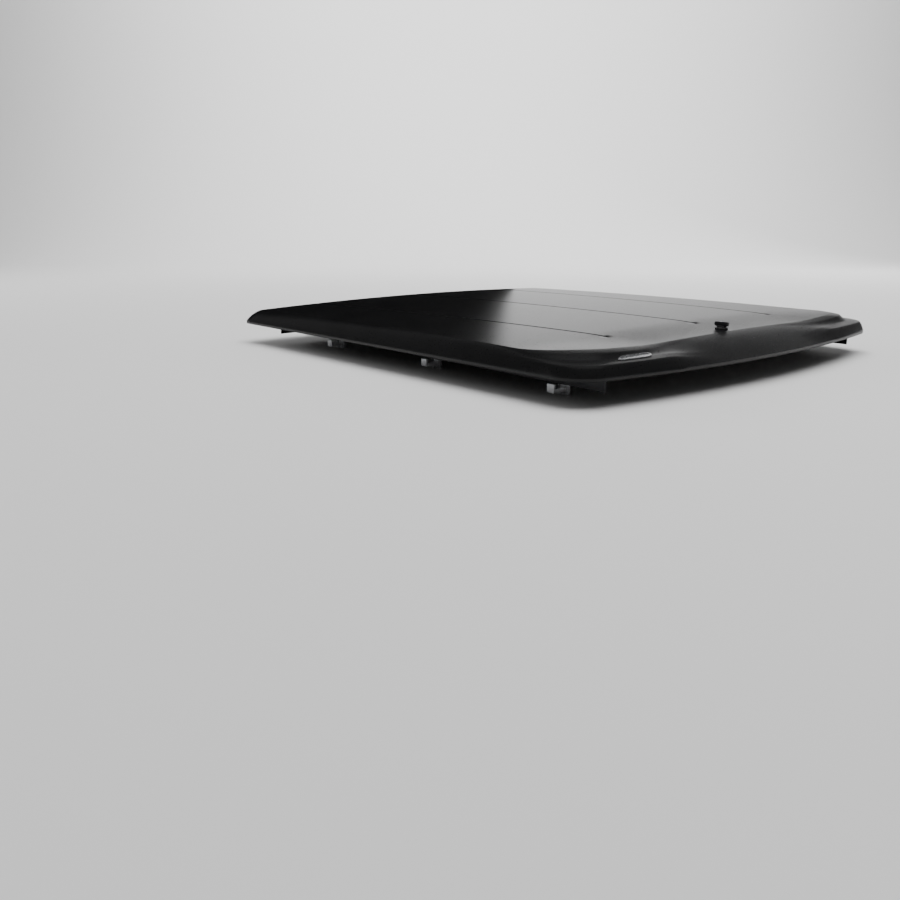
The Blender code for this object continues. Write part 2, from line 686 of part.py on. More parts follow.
def make_strut(side, name):
    """Gas strut with its rail mount and its lid bracket."""
    low_y, low_z = STRUT_LOW
    high_y, high_z = STRUT_HIGH
    x = side * STRUT_X
    web_x = side * (RAIL_X - GAP)
    mount = block("strut_mount_" + name, (web_x, MOUNT_Y[0], MOUNT_Z[0]),
                  (web_x - side * MOUNT_THICKNESS, MOUNT_Y[1], MOUNT_Z[1]), "black_steel")
    stud = cylinder(f"low_stud_{name}", (web_x - side * MOUNT_THICKNESS / 2, low_y, low_z),
                    (x - side * STUD_REACH, low_y, low_z), STUD_RADIUS, group=CUTTERS, sides=16)
    combine(mount, stud, "UNION")
    start = Vector((x, low_y, low_z))
    along = (Vector((x, high_y, high_z)) - start)
    length = along.length
    along.normalize()
    half = Vector((EYE_HALF_WIDTH, 0, 0))
    tube = cylinder("strut_tube_" + name, start + along * 0.006, start + along * TUBE_END,
                    TUBE_RADIUS, "black_steel")
    eye = cylinder(f"low_eye_{name}", start - half, start + half, LOWER_EYE[0], group=CUTTERS)
    combine(tube, eye, "UNION")
    bore(tube, start - half * 2.5, start + half * 2.5, LOWER_EYE[1], sides=16)
    bore(tube, start + along * TUBE_BORE_START, start + along * (TUBE_END + 0.02), TUBE_BORE, 16)
    end = start + along * length
    rod = cylinder("strut_rod_" + name, start + along * ROD_START,
                   end - along * (UPPER_EYE[1] + 0.0010), ROD_RADIUS, "steel", sides=16)
    eye = cylinder(f"high_eye_{name}", end - half, end + half, UPPER_EYE[0], group=CUTTERS)
    combine(rod, eye, "UNION")
    bore(rod, end - half * 2.5, end + half * 2.5, UPPER_EYE[1])
    top = LINER_Z - GAP
    lug_x = side * LUG_X
    bracket = block("strut_bracket_" + name,
                    (side * PLATE_X[0], high_y - PLATE_HALF_LENGTH, top - PLATE_THICKNESS),
                    (side * PLATE_X[1], high_y + PLATE_HALF_LENGTH, top), "black_steel")
    lug = block(f"strut_lug_{name}", (lug_x, high_y - LUG_HALF_LENGTH, high_z - 0.006),
                (lug_x + side * LUG_THICKNESS, high_y + LUG_HALF_LENGTH, top - 0.001),
                group=CUTTERS)
    stud = cylinder(f"high_stud_{name}", (lug_x + side * LUG_THICKNESS / 2, high_y, high_z),
                    (x - side * 0.008, high_y, high_z), UPPER_STUD_RADIUS, group=CUTTERS, sides=16)
    combine(bracket, lug, "UNION")
    combine(bracket, stud, "UNION")


def make_clamp(side, name, number, y):
    """C-clamp under the rail: fixed body, moving jaw, and the bolt that draws the jaw up."""
    label = f"{name}_{number}"
    inner, leg = CLAMP_LEG_X
    web_x = RAIL_X - GAP
    low, high = CLAMP_LAND_Z
    body = [(inner, 0.0), (leg, 0.0), (leg, low), (web_x, low), (web_x, high), (inner, high)]
    body = [(side * x, z) for x, z in body]
    span = (y - CLAMP_HALF_LENGTH, y + CLAMP_HALF_LENGTH)
    bolt_x = side * CLAMP_BOLT_X
    part = extrusion("clamp_body_" + label, body, "XZ", span, "aluminium")
    bore(part, (bolt_x, y, low - 0.005), (bolt_x, y, high + 0.005), CLAMP_BORE, 16)
    start, lip, end = JAW_X
    foot, shelf, top = JAW_Z
    jaw = [(start, foot), (end, foot), (end, top), (lip, top), (lip, shelf), (start, shelf)]
    jaw = [(side * x, z) for x, z in jaw]
    span = (y - JAW_HALF_LENGTH, y + JAW_HALF_LENGTH)
    part = extrusion("clamp_jaw_" + label, jaw, "XZ", span, "aluminium")
    bore(part, (bolt_x, y, foot - 0.004), (bolt_x, y, shelf + 0.006), CLAMP_BORE, 16)
    bolt = cylinder("clamp_bolt_" + label, (bolt_x, y, BOLT_Z[1] - 0.0017), (bolt_x, y, BOLT_Z[2]),
                    BOLT_RADIUS, "steel", sides=16)
    head = cylinder("bolt_head_" + label, (bolt_x, y, BOLT_Z[0]), (bolt_x, y, BOLT_Z[1]),
                    BOLT_HEAD_RADIUS, group=CUTTERS, sides=6)
    combine(bolt, head, "UNION")


# Lock --------------------------------------------------------------------------------------------

def make_lock():
    """Bezel and T-shaped knob on the deck, key plug in the knob, spindle and cam below."""
    deck = SKIRT_Z + deck_height(0, LOCK_Y)
    bezel = cylinder("lock_bezel", (0, LOCK_Y, deck + BEZEL_Z[0]), (0, LOCK_Y, deck + BEZEL_Z[1]),
                     BEZEL_RADIUS, "black_steel", sides=28, taper=0.92)
    bore(bezel, (0, LOCK_Y, deck - 0.01), (0, LOCK_Y, deck + 0.01), LOCK_HOLE)
    knob = cylinder("lock_knob", (0, LOCK_Y, deck + KNOB_Z[0]), (0, LOCK_Y, deck + KNOB_Z[2]),
                    KNOB_RADIUS, "black_steel", sides=24, taper=0.8)
    grip = block("knob_grip", (-GRIP_HALF[0], LOCK_Y - GRIP_HALF[1], deck + KNOB_Z[1]),
                 (GRIP_HALF[0], LOCK_Y + GRIP_HALF[1], deck + KNOB_Z[3]), group=CUTTERS,
                 bevel=0.002)
    combine(knob, grip, "UNION")
    bore(knob, (0, LOCK_Y, deck + PLUG_Z[0]), (0, LOCK_Y, deck + 0.04), PLUG_RADIUS + GAP)
    plug = cylinder("key_plug", (0, LOCK_Y, deck + PLUG_Z[0] + GAP), (0, LOCK_Y, deck + PLUG_Z[1]),
                    PLUG_RADIUS, "steel")
    slot = block("key_slot", (-KEY_SLOT[0], LOCK_Y - KEY_SLOT[1], deck + PLUG_Z[1] - KEY_SLOT[2]),
                 (KEY_SLOT[0], LOCK_Y + KEY_SLOT[1], deck + 0.03), group=CUTTERS)
    combine(plug, slot, "DIFFERENCE")
    cam = cylinder("lock_cam", (0, LOCK_Y, CAM_Z[0]), (0, LOCK_Y, CAM_Z[1]), CAM_RADIUS,
                   "steel", sides=28)
    spindle = cylinder("spindle_shaft", (0, LOCK_Y, CAM_Z[1] - 0.001),
                       (0, LOCK_Y, deck + KNOB_Z[0] - GAP), SPINDLE_RADIUS, group=CUTTERS)
    combine(cam, spindle, "UNION")
    offset = CRANK_RADIUS * math.sin(math.pi / 4)
    for side, name in SIDES:
        x = -side * offset
        y = LOCK_Y + side * offset
        crank = cylinder(f"crank_{name}", (x, y, ROD_Z[0] - 0.001), (x, y, CAM_Z[0] + 0.001),
                         CRANK_PIN_RADIUS, group=CUTTERS, sides=16)
        combine(cam, crank, "UNION")
        make_latch_rod(side, name, x)


def make_latch_rod(side, name, crank_x):
    """Flat bar from the cam to the rail, with a cross slot for its crank pin."""
    y = LOCK_Y + side * ROD_OFFSET_Y
    inner = crank_x - side * ROD_HEAD_HALF[0]
    rod = block("latch_rod_" + name, (inner, y - ROD_HALF_WIDTH, ROD_Z[0]),
                (side * ROD_TIP_X, y + ROD_HALF_WIDTH, ROD_Z[1]), "steel")
    head = block(f"rod_head_{name}", (inner, y - ROD_HEAD_HALF[1], ROD_Z[0]),
                 (crank_x + side * ROD_HEAD_HALF[0], y + ROD_HEAD_HALF[1], ROD_Z[1]),
                 group=CUTTERS)
    slot = block(f"rod_slot_{name}", (crank_x - SLOT_HALF[0], y - SLOT_HALF[1], ROD_Z[0] - 0.01),
                 (crank_x + SLOT_HALF[0], y + SLOT_HALF[1], ROD_Z[1] + 0.01), group=CUTTERS)
    combine(rod, head, "UNION")
    combine(rod, slot, "DIFFERENCE")
    half_width = ROD_HALF_WIDTH + ROD_CLEARANCE
    guide = block("rod_guide_" + name,
                  (side * (GUIDE_X - GUIDE_HALF[0]), y - GUIDE_HALF[1], GUIDE_LOW),
                  (side * (GUIDE_X + GUIDE_HALF[0]), y + GUIDE_HALF[1], LINER_Z - GAP),
                  "black_steel")
    window = block(f"guide_window_{name}",
                   (side * (GUIDE_X - 0.02), y - half_width, ROD_Z[0] - ROD_CLEARANCE),
                   (side * (GUIDE_X + 0.02), y + half_width, ROD_Z[1] + ROD_CLEARANCE),
                   group=CUTTERS)
    combine(guide, window, "DIFFERENCE")


def make_lamp():
    """Press lamp under the lid, forward of the lock."""
    top = LINER_Z - GAP
    housing = cylinder("lamp_housing", (0, LAMP_Y, top - LAMP_DEPTH), (0, LAMP_Y, top),
                       LAMP_RADIUS, "liner", sides=28, taper=1.08)
    bore(housing, (0, LAMP_Y, top - 0.03), (0, LAMP_Y, top - LAMP_BACK), LAMP_BORE, 28)
    cylinder("lamp_lens", (0, LAMP_Y, top - LENS_Z[0]), (0, LAMP_Y, top - LENS_Z[1]),
             LAMP_BORE - GAP, "lamp", sides=28)


def build():
    make_lid_shell()
    make_liner()
    make_stiffeners()
    make_front_trim()
    make_tailgate_seal()
    make_badge()
    make_side_rails()
    make_header()
    for side, name in SIDES:
        make_hinge(side, name)
        make_keeper(side, name)
        make_strut(side, name)
        for number, y in enumerate(CLAMP_Y, 1):
            make_clamp(side, name, number, y)
    make_lock()
    make_lamp()


build()
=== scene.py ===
"""Looks for the tonneau cover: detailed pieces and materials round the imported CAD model.

The row frame is in metres: +X is the passenger side, +Y points at the cab, +Z is up.
"""
import json
import math

import bmesh
import bpy
from mathutils import Matrix, Vector

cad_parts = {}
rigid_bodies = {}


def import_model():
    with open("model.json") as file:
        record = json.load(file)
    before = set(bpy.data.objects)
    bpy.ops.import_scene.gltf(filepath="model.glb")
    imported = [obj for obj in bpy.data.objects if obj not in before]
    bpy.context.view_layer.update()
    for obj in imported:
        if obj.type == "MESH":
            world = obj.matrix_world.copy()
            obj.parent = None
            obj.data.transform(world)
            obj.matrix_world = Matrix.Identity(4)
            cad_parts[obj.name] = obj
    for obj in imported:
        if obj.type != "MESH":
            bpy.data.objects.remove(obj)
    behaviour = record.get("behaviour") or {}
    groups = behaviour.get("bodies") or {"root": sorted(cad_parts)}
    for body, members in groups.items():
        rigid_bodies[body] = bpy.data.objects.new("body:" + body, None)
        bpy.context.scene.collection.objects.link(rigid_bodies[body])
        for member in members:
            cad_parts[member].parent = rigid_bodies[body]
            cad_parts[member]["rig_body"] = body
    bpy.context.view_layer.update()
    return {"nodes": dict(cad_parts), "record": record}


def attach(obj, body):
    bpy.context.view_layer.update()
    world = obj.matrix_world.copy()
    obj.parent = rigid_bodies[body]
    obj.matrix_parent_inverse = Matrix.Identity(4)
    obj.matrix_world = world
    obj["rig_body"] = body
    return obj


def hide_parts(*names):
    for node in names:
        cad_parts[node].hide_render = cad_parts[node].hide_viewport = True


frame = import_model()
NODES = frame["nodes"]
SLOT_OF = {part["node"]: part["material_slot"] for part in frame["record"]["subparts"]}
SIDES = ((-1, "left"), (1, "right"))

# Lid shell: the same surface as the CAD model's, on a finer grid
LENGTH = 2.03
FRONT_HALF_WIDTH = 0.963
REAR_HALF_WIDTH = 0.906
SKIRT_Z = 0.085
FRONT_Y = LENGTH / 2
REAR_Y = -LENGTH / 2
REAR_BOW = 0.097
SKIRT_CORNER = 0.105
SKIRT_LIP = 0.012
SHELL_THICKNESS = 0.0035
SIDE_POWER = 0.8
DECK_HALF_WIDTH = 0.872
DECK_REAR_Y = -0.838
DECK_CORNER = 0.22
DECK_STRAIGHT = DECK_HALF_WIDTH - DECK_CORNER
DECK_CREST_Y = -0.32
DECK_CREST_Z = 0.089
DECK_SIDE_DROP = 0.0225
DECK_FRONT_DROP = 0.0091
DECK_REAR_DROP = 0.0187
TAIL_START_Y = -0.60
TAIL_LENGTH = 0.24
TAIL_DROP = 0.012
TAIL_HALF_WIDTH = (0.40, 0.80)
CORNER_RISE = 0.007
CORNER_RISE_X = (0.45, 0.85)
LEDGE_Z = 0.0465
LEDGE_OUTER = 0.15
LEDGE_OUTER_END = 0.30
LEDGE_INNER = 0.47
LEDGE_RISE = 0.0045
SHOULDER_START = (0.90, 0.68)
SHOULDER_DROP = 0.007
SHOULDER_CURVE = 0.4
WALL_POWER = 1.6
LEDGE_REAR_X = (0.22, 0.62)
LEDGE_SIDE_Y = (-0.80, -0.42)

# The deck's rim is a crease behind this line
CREASE_Y = -0.50

# Grooves pressed into the deck
GROOVE_DEPTH = 0.0065
GROOVE_HALF_FLAT = 0.0034
GROOVE_HALF_WIDTH = 0.0054
GROOVE_SHOULDER = 0.0064
SIDE_GROOVE_X = 0.4855
SIDE_GROOVE_SPLAY = 0.05
GROOVE_END_Y = -0.70
GROOVE_FADE = 0.05
GROOVE_END_ROWS = [1.02, 1.045, 1.11, 1.175, 1.19, 1.235, 1.26, 1.31, 1.335, 1.375, 1.39]

# Badge plate
BADGE_POWER = 0.5
BADGE_COLUMN = 0.862
BADGE_HALF_COLUMN = 0.10
BADGE_FRACTION = 0.465
BADGE_HALF_FRACTION = 0.12

# Lid lining
LINER_Z = 0.1217
LINER_HALF_WIDTH = 0.838
LINER_FRONT_Y = 0.994
LINER_REAR_Y = -0.856
LINER_CORNER = 0.250

# Bed rails and front header, drawn on the plane of the truck's bed rails
BED_Z = 0.0935
FLANGE = 0.004
FLANGE_TOP = BED_Z + FLANGE
GAP = 0.0003
RAIL_X = 0.760
BRACKET_THICKNESS = 0.003

# Bulb seals
SEAL_TOP = 0.1185
SEAL_RADIUS = 0.007
SEAL_X = 0.820
SEAL_Y = (-0.74, 0.845)
HEADER_SEAL_Y = 0.920
HEADER_SEAL_RADIUS = 0.006
HEADER_SEAL_REACH = 0.795
SEAL_REAR_Y = -0.840
SEAL_REAR_LOW = 0.0975
SEAL_REAR_REACH = 0.62

# Front hinges
HINGE_Y = 0.985
HINGE_Z = 0.1105
HINGE_X = 0.55
HINGE_HALF = 0.040
PIN_RADIUS = 0.0030
LEAF_THICKNESS = 0.003
BASE_SCREW_Y = 0.9645
BASE_SCREW_SHIFTS = (-0.027, 0.027)
LEAF_SCREW_Y = 0.9445
LEAF_SCREW_SHIFTS = (-0.030, 0.0, 0.030)

# Gas struts: the lower stud is on the rail, the upper stud is on the lid
STRUT_X = 0.702
STRUT_LOW = (0.885, 0.0455)
STRUT_HIGH = (0.385, 0.1025)
STUD_RADIUS = 0.0040
TUBE_RADIUS = 0.0090
TUBE_BORE = 0.0048
TUBE_END = 0.330
TUBE_BORE_START = 0.110
ROD_RADIUS = 0.0040
ROD_START = 0.200
EYE_HALF_WIDTH = 0.005
LOWER_EYE = (0.0100, 0.0043)
UPPER_EYE = (0.0120, 0.0085)
MOUNT_Y = (0.862, 0.896)
MOUNT_Z = (0.042, 0.082)
MOUNT_THICKNESS = 0.006
STUD_REACH = 0.009
PLATE_THICKNESS = 0.003
BRACKET_SCREW_X = 0.7035
BRACKET_SCREW_SHIFTS = (-0.022, 0.022)

# Rotary lock and the two latch rods; heights with a knob, bezel or plug are above the deck
LOCK_Y = -0.795
LOCK_HOLE = 0.009
BEZEL_RADIUS = 0.0225
BEZEL_Z = (0.0030, 0.0065)
KNOB_RADIUS = 0.017
KNOB_Z = (0.0069, 0.0085, 0.0120, 0.0265)
GRIP_HALF = (0.0078, 0.030)
GRIP_SHARES = [-1, -0.995, -0.975, -0.94, -0.88, -0.78, -0.66, -0.54, -0.42, -0.30, -0.18, 0,
               0.18, 0.30, 0.42, 0.54, 0.66, 0.78, 0.88, 0.94, 0.975, 0.995, 1]
PLUG_RADIUS = 0.0055
PLUG_Z = (0.0160, 0.0272)
KEY_SLOT = (0.0008, 0.0035, 0.0027)
CRANK_RADIUS = 0.022
CRANK_PIN_RADIUS = 0.003
CAM_Z = (0.1115, 0.1145)
ROD_Z = (0.1035, 0.1085)
ROD_HALF_WIDTH = 0.007
ROD_OFFSET_Y = 0.0188
ROD_TIP_X = 0.7555
GUIDE_X = 0.700
GUIDE_LOW = 0.0985
KEEPER_X = (0.766, 0.792)
KEEPER_FLOOR = 0.002
KEEPER_SCREWS = (0.0125, (-0.0105, 0.0105))
GUIDE_SCREW_SHIFTS = (-0.0125, 0.0125)

# Bed clamps
CLAMP_Y = (-0.70, -0.05, 0.60)
CLAMP_BOLT_X = 0.747
BOLT_RADIUS = 0.0040
BOLT_HEAD_RADIUS = 0.0080
BOLT_Z = (0.0037, 0.0117, 0.0840)
JAW_X = (0.7325, 0.784, 0.792)
JAW_Z = (0.012, 0.024, 0.040)
JAW_HALF_LENGTH = 0.015
JAW_TEETH = 5
THREAD_PITCH = 0.0020

# Press lamp under the lid; depths are below the lining
LAMP_Y = -0.70
LAMP_BORE = 0.0285
LAMP_BACK = 0.004
LENS_Z = (0.0165, 0.0065)
LENS_RINGS = 7
LAMP_FACE = 0.0130
LAMP_SCREW_REACH = 0.0315

# Fixtures that the CAD model leaves out
BEAD_X = (0.13, 0.26, 0.50, 0.62)
BEAD_Y = [-0.55 + 0.045 * step for step in range(29)]
RIVET_X = 0.795
RIVET_Y = (-0.50, -0.25, 0.0, 0.25, 0.50, 0.75)
RIVET_REAR_X = (-0.40, -0.20, 0.20, 0.40)
RIVET_REAR_Y = -0.822
RIVET_FRONT_Y = 0.955
REST_PAD_X = (RAIL_X + 0.0085, RAIL_X + 0.0245)
REST_PAD_Y = (-0.45, 0.20)
REST_PAD_HALF_LENGTH = 0.020
REST_PAD_HEIGHT = 0.0062
CORNER_SCREW_X = 0.826
CORNER_SCREW_Y = (0.872, 0.930)

# Stage: a floor that curves up into a wall, and a card behind the cover
STAGE_HEADING = -40
STAGE_HALF_WIDTH = 14
FLOOR_START = -9.0
FLOOR_END = 5.5
COVE_RADIUS = 3.0
WALL_TOP = 3.3
CARD_Y = 1.25
CARD_HALF = (0.96, 0.60)
CARD_Z = (0.12, 1.15)

# Lights: name, place, target, size, power, and whether glossy surfaces mirror it
LIGHTS = (
    ("softbox_top", (0.5, -0.5, 6.0), (0.3, -0.3, 0), (7.0, 7.0), 620, False),
    ("softbox_glow", (-0.5, -1.5, 6.2), (0, 0, 0), (7.0, 7.0), 70, True),
    ("softbox_front", (-3.5, 5.5, 2.4), (0, 0, 0), (3.0, 2.0), 110, False),
    ("softbox_right", (6.5, 1.2, 2.4), (0, 0, 0), (2.5, 1.8), 90, False),
    ("backdrop_wash", (3.2, 4.2, 4.6), (5.4, 6.6, 0.9), (9.0, 2.0), 520, True),
)

# Camera: place, then angles in degrees
CAMERA_PLACE = (-2.79931, -2.58464, 0.57654)
CAMERA_YAW = 40.117
CAMERA_PITCH = 15.406
CAMERA_ROLL = -0.052
CAMERA_LENS = 34.836


def lerp(low, high, fraction):
    return low + (high - low) * fraction


def smooth(low, high, value):
    fraction = min(1.0, max(0.0, (value - low) / (high - low)))
    return fraction * fraction * (3 - 2 * fraction)


# Materials ------------------------------------------------------------------------------------

def material(name, colour, roughness, metallic=0.0):
    """A material with its node tree, its shader and object coordinates in metres."""
    made = bpy.data.materials.new(name)
    made.use_nodes = True
    tree = made.node_tree
    shader = tree.nodes["Principled BSDF"]
    shader.inputs["Base Color"].default_value = (*colour, 1.0)
    shader.inputs["Roughness"].default_value = roughness
    shader.inputs["Metallic"].default_value = metallic
    coords = tree.nodes.new("ShaderNodeTexCoord")
    return made, tree, shader, coords.outputs["Object"]


def noise(tree, coords, scale, detail=3.0, stretch=None):
    """A noise pattern of that many cells a metre; stretch scales each axis first."""
    if stretch:
        mapping = tree.nodes.new("ShaderNodeMapping")
        mapping.inputs["Scale"].default_value = stretch
        tree.links.new(coords, mapping.inputs["Vector"])
        coords = mapping.outputs["Vector"]
    node = tree.nodes.new("ShaderNodeTexNoise")
    node.inputs["Scale"].default_value = scale
    node.inputs["Detail"].default_value = detail
    tree.links.new(coords, node.inputs["Vector"])
    return node.outputs["Fac"]


def spread(tree, value, low, high, start=0.3, end=0.7):
    """A pattern's value mapped from start..end to low..high."""
    node = tree.nodes.new("ShaderNodeMapRange")
    node.inputs["From Min"].default_value = start
    node.inputs["From Max"].default_value = end
    node.inputs["To Min"].default_value = low
    node.inputs["To Max"].default_value = high
    tree.links.new(value, node.inputs["Value"])
    return node.outputs["Result"]


def tint(tree, value, dark, light):
    """A pattern's value as a colour between two colours."""
    node = tree.nodes.new("ShaderNodeMix")
    node.data_type = "RGBA"
    node.inputs["A"].default_value = (*dark, 1.0)
    node.inputs["B"].default_value = (*light, 1.0)
    tree.links.new(value, node.inputs["Factor"])
    return node.outputs["Result"]


def bump(tree, shader, heights):
    """Bump steps in a chain: each is a pattern, its strength and its depth in metres."""
    normal = None
    for value, strength, depth in heights:
        node = tree.nodes.new("ShaderNodeBump")
        node.inputs["Strength"].default_value = strength
        node.inputs["Distance"].default_value = depth
        tree.links.new(value, node.inputs["Height"])
        if normal:
            tree.links.new(normal, node.inputs["Normal"])
        normal = node.outputs["Normal"]
    tree.links.new(normal, shader.inputs["Normal"])


def vary(tree, shader, clouds, dark, light, scuffs, roughness):
    """Colour between two shades after one pattern, and roughness after another."""
    tree.links.new(tint(tree, spread(tree, clouds, 0, 1), dark, light), shader.inputs["Base Color"])
    tree.links.new(spread(tree, scuffs, *roughness), shader.inputs["Roughness"])


def plastic(name, dark, light, roughness, grain, depth, index=1.45):
    """Moulded plastic: a fine grain and faint clouding."""
    made, tree, shader, coords = material(name, dark, sum(roughness) / 2)
    fine = noise(tree, coords, grain, 2.0)
    cloud = noise(tree, coords, 6.0, 6.0)
    scuff = noise(tree, coords, 160.0, 3.0)
    shader.inputs["IOR"].default_value = index
    vary(tree, shader, cloud, dark, light, scuff, roughness)
    bump(tree, shader, [(fine, 0.5, depth)])
    return made


def brushed(name, dark, light, roughness, stretch, metallic=1.0):
    """Drawn or ground metal: fine streaks along one axis."""
    made, tree, shader, coords = material(name, dark, sum(roughness) / 2, metallic)
    streak = noise(tree, coords, 500.0, 4.0, stretch)
    cloud = noise(tree, coords, 18.0, 5.0)
    vary(tree, shader, cloud, dark, light, streak, roughness)
    bump(tree, shader, [(streak, 0.25, 0.0002)])
    return made


def coated(name, dark, light, roughness, texture, metallic=0.0):
    """Powder coat or paint: orange peel, and a little clouding."""
    made, tree, shader, coords = material(name, dark, sum(roughness) / 2, metallic)
    peel = noise(tree, coords, texture, 2.0)
    cloud = noise(tree, coords, 30.0, 5.0)
    vary(tree, shader, cloud, dark, light, cloud, roughness)
    bump(tree, shader, [(peel, 0.35, 0.0003)])
    return made


def rubber_material():
    made, tree, shader, coords = material("seal_rubber", (0.012, 0.012, 0.012), 0.75)
    dust = noise(tree, coords, 60.0, 7.0)
    vary(tree, shader, dust, (0.010, 0.010, 0.010), (0.024, 0.023, 0.022), dust, (0.65, 0.88))
    bump(tree, shader, [(noise(tree, coords, 1500.0, 2.0), 0.4, 0.0002)])
    return made


def lamp_material():
    made, tree, shader, coords = material("lamp_diffuser", (0.82, 0.84, 0.86), 0.32)
    frost = noise(tree, coords, 900.0, 2.0)
    vary(tree, shader, frost, (0.76, 0.78, 0.80), (0.88, 0.89, 0.90), frost, (0.25, 0.42))
    shader.inputs["Transmission Weight"].default_value = 0.25
    bump(tree, shader, [(frost, 0.2, 0.0002)])
    return made


LOOKS = {
    "shell": plastic("shell_abs", (0.0050, 0.0050, 0.0053), (0.0074, 0.0074, 0.0078),
                     (0.27, 0.31), 900.0, 0.00002, 1.32),
    "liner": plastic("liner_abs", (0.030, 0.030, 0.032), (0.044, 0.044, 0.046),
                     (0.55, 0.72), 330.0, 0.00045),
    "knob": plastic("knob_plastic", (0.010, 0.010, 0.011), (0.016, 0.016, 0.017),
                    (0.30, 0.42), 1400.0, 0.00006),
    "rubber": rubber_material(),
    "black_rail": brushed("anodised_black", (0.020, 0.020, 0.022), (0.032, 0.032, 0.034),
                          (0.30, 0.48), (1.0, 0.02, 1.0), 0.85),
    "aluminium": brushed("mill_aluminium", (0.56, 0.57, 0.59), (0.66, 0.67, 0.68),
                         (0.26, 0.46), (1.0, 0.04, 1.0)),
    "steel": brushed("zinc_steel", (0.52, 0.53, 0.55), (0.64, 0.64, 0.65), (0.20, 0.36),
                     (0.15, 1.0, 1.0)),
    "black_steel": coated("powder_coat", (0.018, 0.018, 0.019), (0.028, 0.028, 0.029),
                          (0.38, 0.55), 1800.0),
    "strut_tube": coated("gloss_paint", (0.010, 0.010, 0.011), (0.015, 0.015, 0.016),
                         (0.12, 0.22), 500.0),
    "lamp": lamp_material(),
    "badge": brushed("bright_plate", (0.50, 0.51, 0.53), (0.62, 0.63, 0.64), (0.18, 0.30),
                     (0.05, 1.0, 1.0)),
}


# Building helpers -----------------------------------------------------------------------------

def finished(name, shape, slot, body, sharp=35):
    """Turn a bmesh into a piece with its material, shading, slot and body."""
    mesh = bpy.data.meshes.new(name)
    shape.to_mesh(mesh)
    shape.free()
    piece = bpy.data.objects.new(name, mesh)
    bpy.context.scene.collection.objects.link(piece)
    mesh.materials.append(LOOKS[slot])
    mesh.shade_smooth()
    mesh.set_sharp_from_angle(angle=math.radians(sharp))
    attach(piece, body)
    return piece


def bevelled(piece, width, segments=2, angle=30):
    edge = piece.modifiers.new("rounded edges", "BEVEL")
    edge.width = width
    edge.segments = segments
    edge.limit_method = "ANGLE"
    edge.angle_limit = math.radians(angle)
    edge.harden_normals = True
    return piece


def refine(node, width=0.0006, segments=2):
    """A copy of a CAD node with its coplanar faces joined and its edges rounded."""
    source = NODES[node]
    shape = bmesh.new()
    shape.from_mesh(source.data)
    bmesh.ops.remove_doubles(shape, verts=shape.verts, dist=0.000005)
    bmesh.ops.dissolve_limit(shape, angle_limit=math.radians(1.5), verts=shape.verts,
                             edges=shape.edges)
    piece = finished("fine_" + node, shape, SLOT_OF[node], source["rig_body"])
    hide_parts(node)
    return bevelled(piece, width, segments)


def bridge(shape, near, far):
    """Faces between two rings with the same number of points."""
    for index, vert in enumerate(near):
        other = (index + 1) % len(near)
        shape.faces.new((vert, near[other], far[other], far[index]))


def turned(name, profile, start, axis, slot, body, sides=48, closed=True):
    """A round piece: profile is (distance along the axis, radius) from end to end."""
    turn = Vector(axis).normalized().to_track_quat("Z", "Y").to_matrix()
    start = Vector(start)
    shape = bmesh.new()
    rings = []
    for height, radius in profile:
        ring = []
        for side in range(sides):
            angle = math.tau * side / sides
            spot = Vector((radius * math.cos(angle), radius * math.sin(angle), height))
            ring.append(shape.verts.new(start + turn @ spot))
        rings.append(ring)
    for low, high in zip(rings, rings[1:]):
        bridge(shape, low, high)
    if closed:
        shape.faces.new(rings[0][::-1])
        shape.faces.new(rings[-1])
    else:
        bridge(shape, rings[-1], rings[0])
    bmesh.ops.recalc_face_normals(shape, faces=shape.faces)
    return finished(name, shape, slot, body)


def box_piece(name, low, high, slot, body, width=0.0006, segments=3):
    shape = bmesh.new()
    bmesh.ops.create_cube(shape, size=1.0)
    size = [b - a for a, b in zip(low, high)]
    bmesh.ops.scale(shape, vec=size, verts=shape.verts)
    middle = [(a + b) / 2 for a, b in zip(low, high)]
    bmesh.ops.translate(shape, vec=middle, verts=shape.verts)
    return bevelled(finished(name, shape, slot, body), width, segments)


def lofted(name, sections, slot, body, sides=40):
    """A piece through rounded sections: each is (centre, half width, half height, power).

    A power of 1 makes an ellipse, and a smaller one squares it off.
    """
    shape = bmesh.new()
    rings = []
    for (x, y, z), across, up, power in sections:
        ring = []
        for side in range(sides):
            angle = math.tau * side / sides
            cosine, sine = math.cos(angle), math.sin(angle)
            ring.append(shape.verts.new((
                x + across * math.copysign(abs(cosine) ** power, cosine), y,
                z + up * math.copysign(abs(sine) ** power, sine))))
        rings.append(ring)
    for low, high in zip(rings, rings[1:]):
        bridge(shape, low, high)
    shape.faces.new(rings[0][::-1])
    shape.faces.new(rings[-1])
    bmesh.ops.recalc_face_normals(shape, faces=shape.faces)
    return finished(name, shape, slot, body, 50)


def extruded(name, outline, plane, span, slot, body, width=0.0):
    """An outline pulled along the axis it doesn't use: plane is XY, XZ or YZ."""
    shape = bmesh.new()
    rings = []
    for depth in span:
        ring = []
        for across, up in outline:
            spot = {"XY": (across, up, depth), "XZ": (across, depth, up),
                    "YZ": (depth, across, up)}[plane]
            ring.append(shape.verts.new(spot))
        rings.append(ring)
    bridge(shape, *rings)
    shape.faces.new(rings[0][::-1])
    shape.faces.new(rings[-1])
    bmesh.ops.recalc_face_normals(shape, faces=shape.faces)
    piece = finished(name, shape, slot, body)
    return bevelled(piece, width) if width else piece


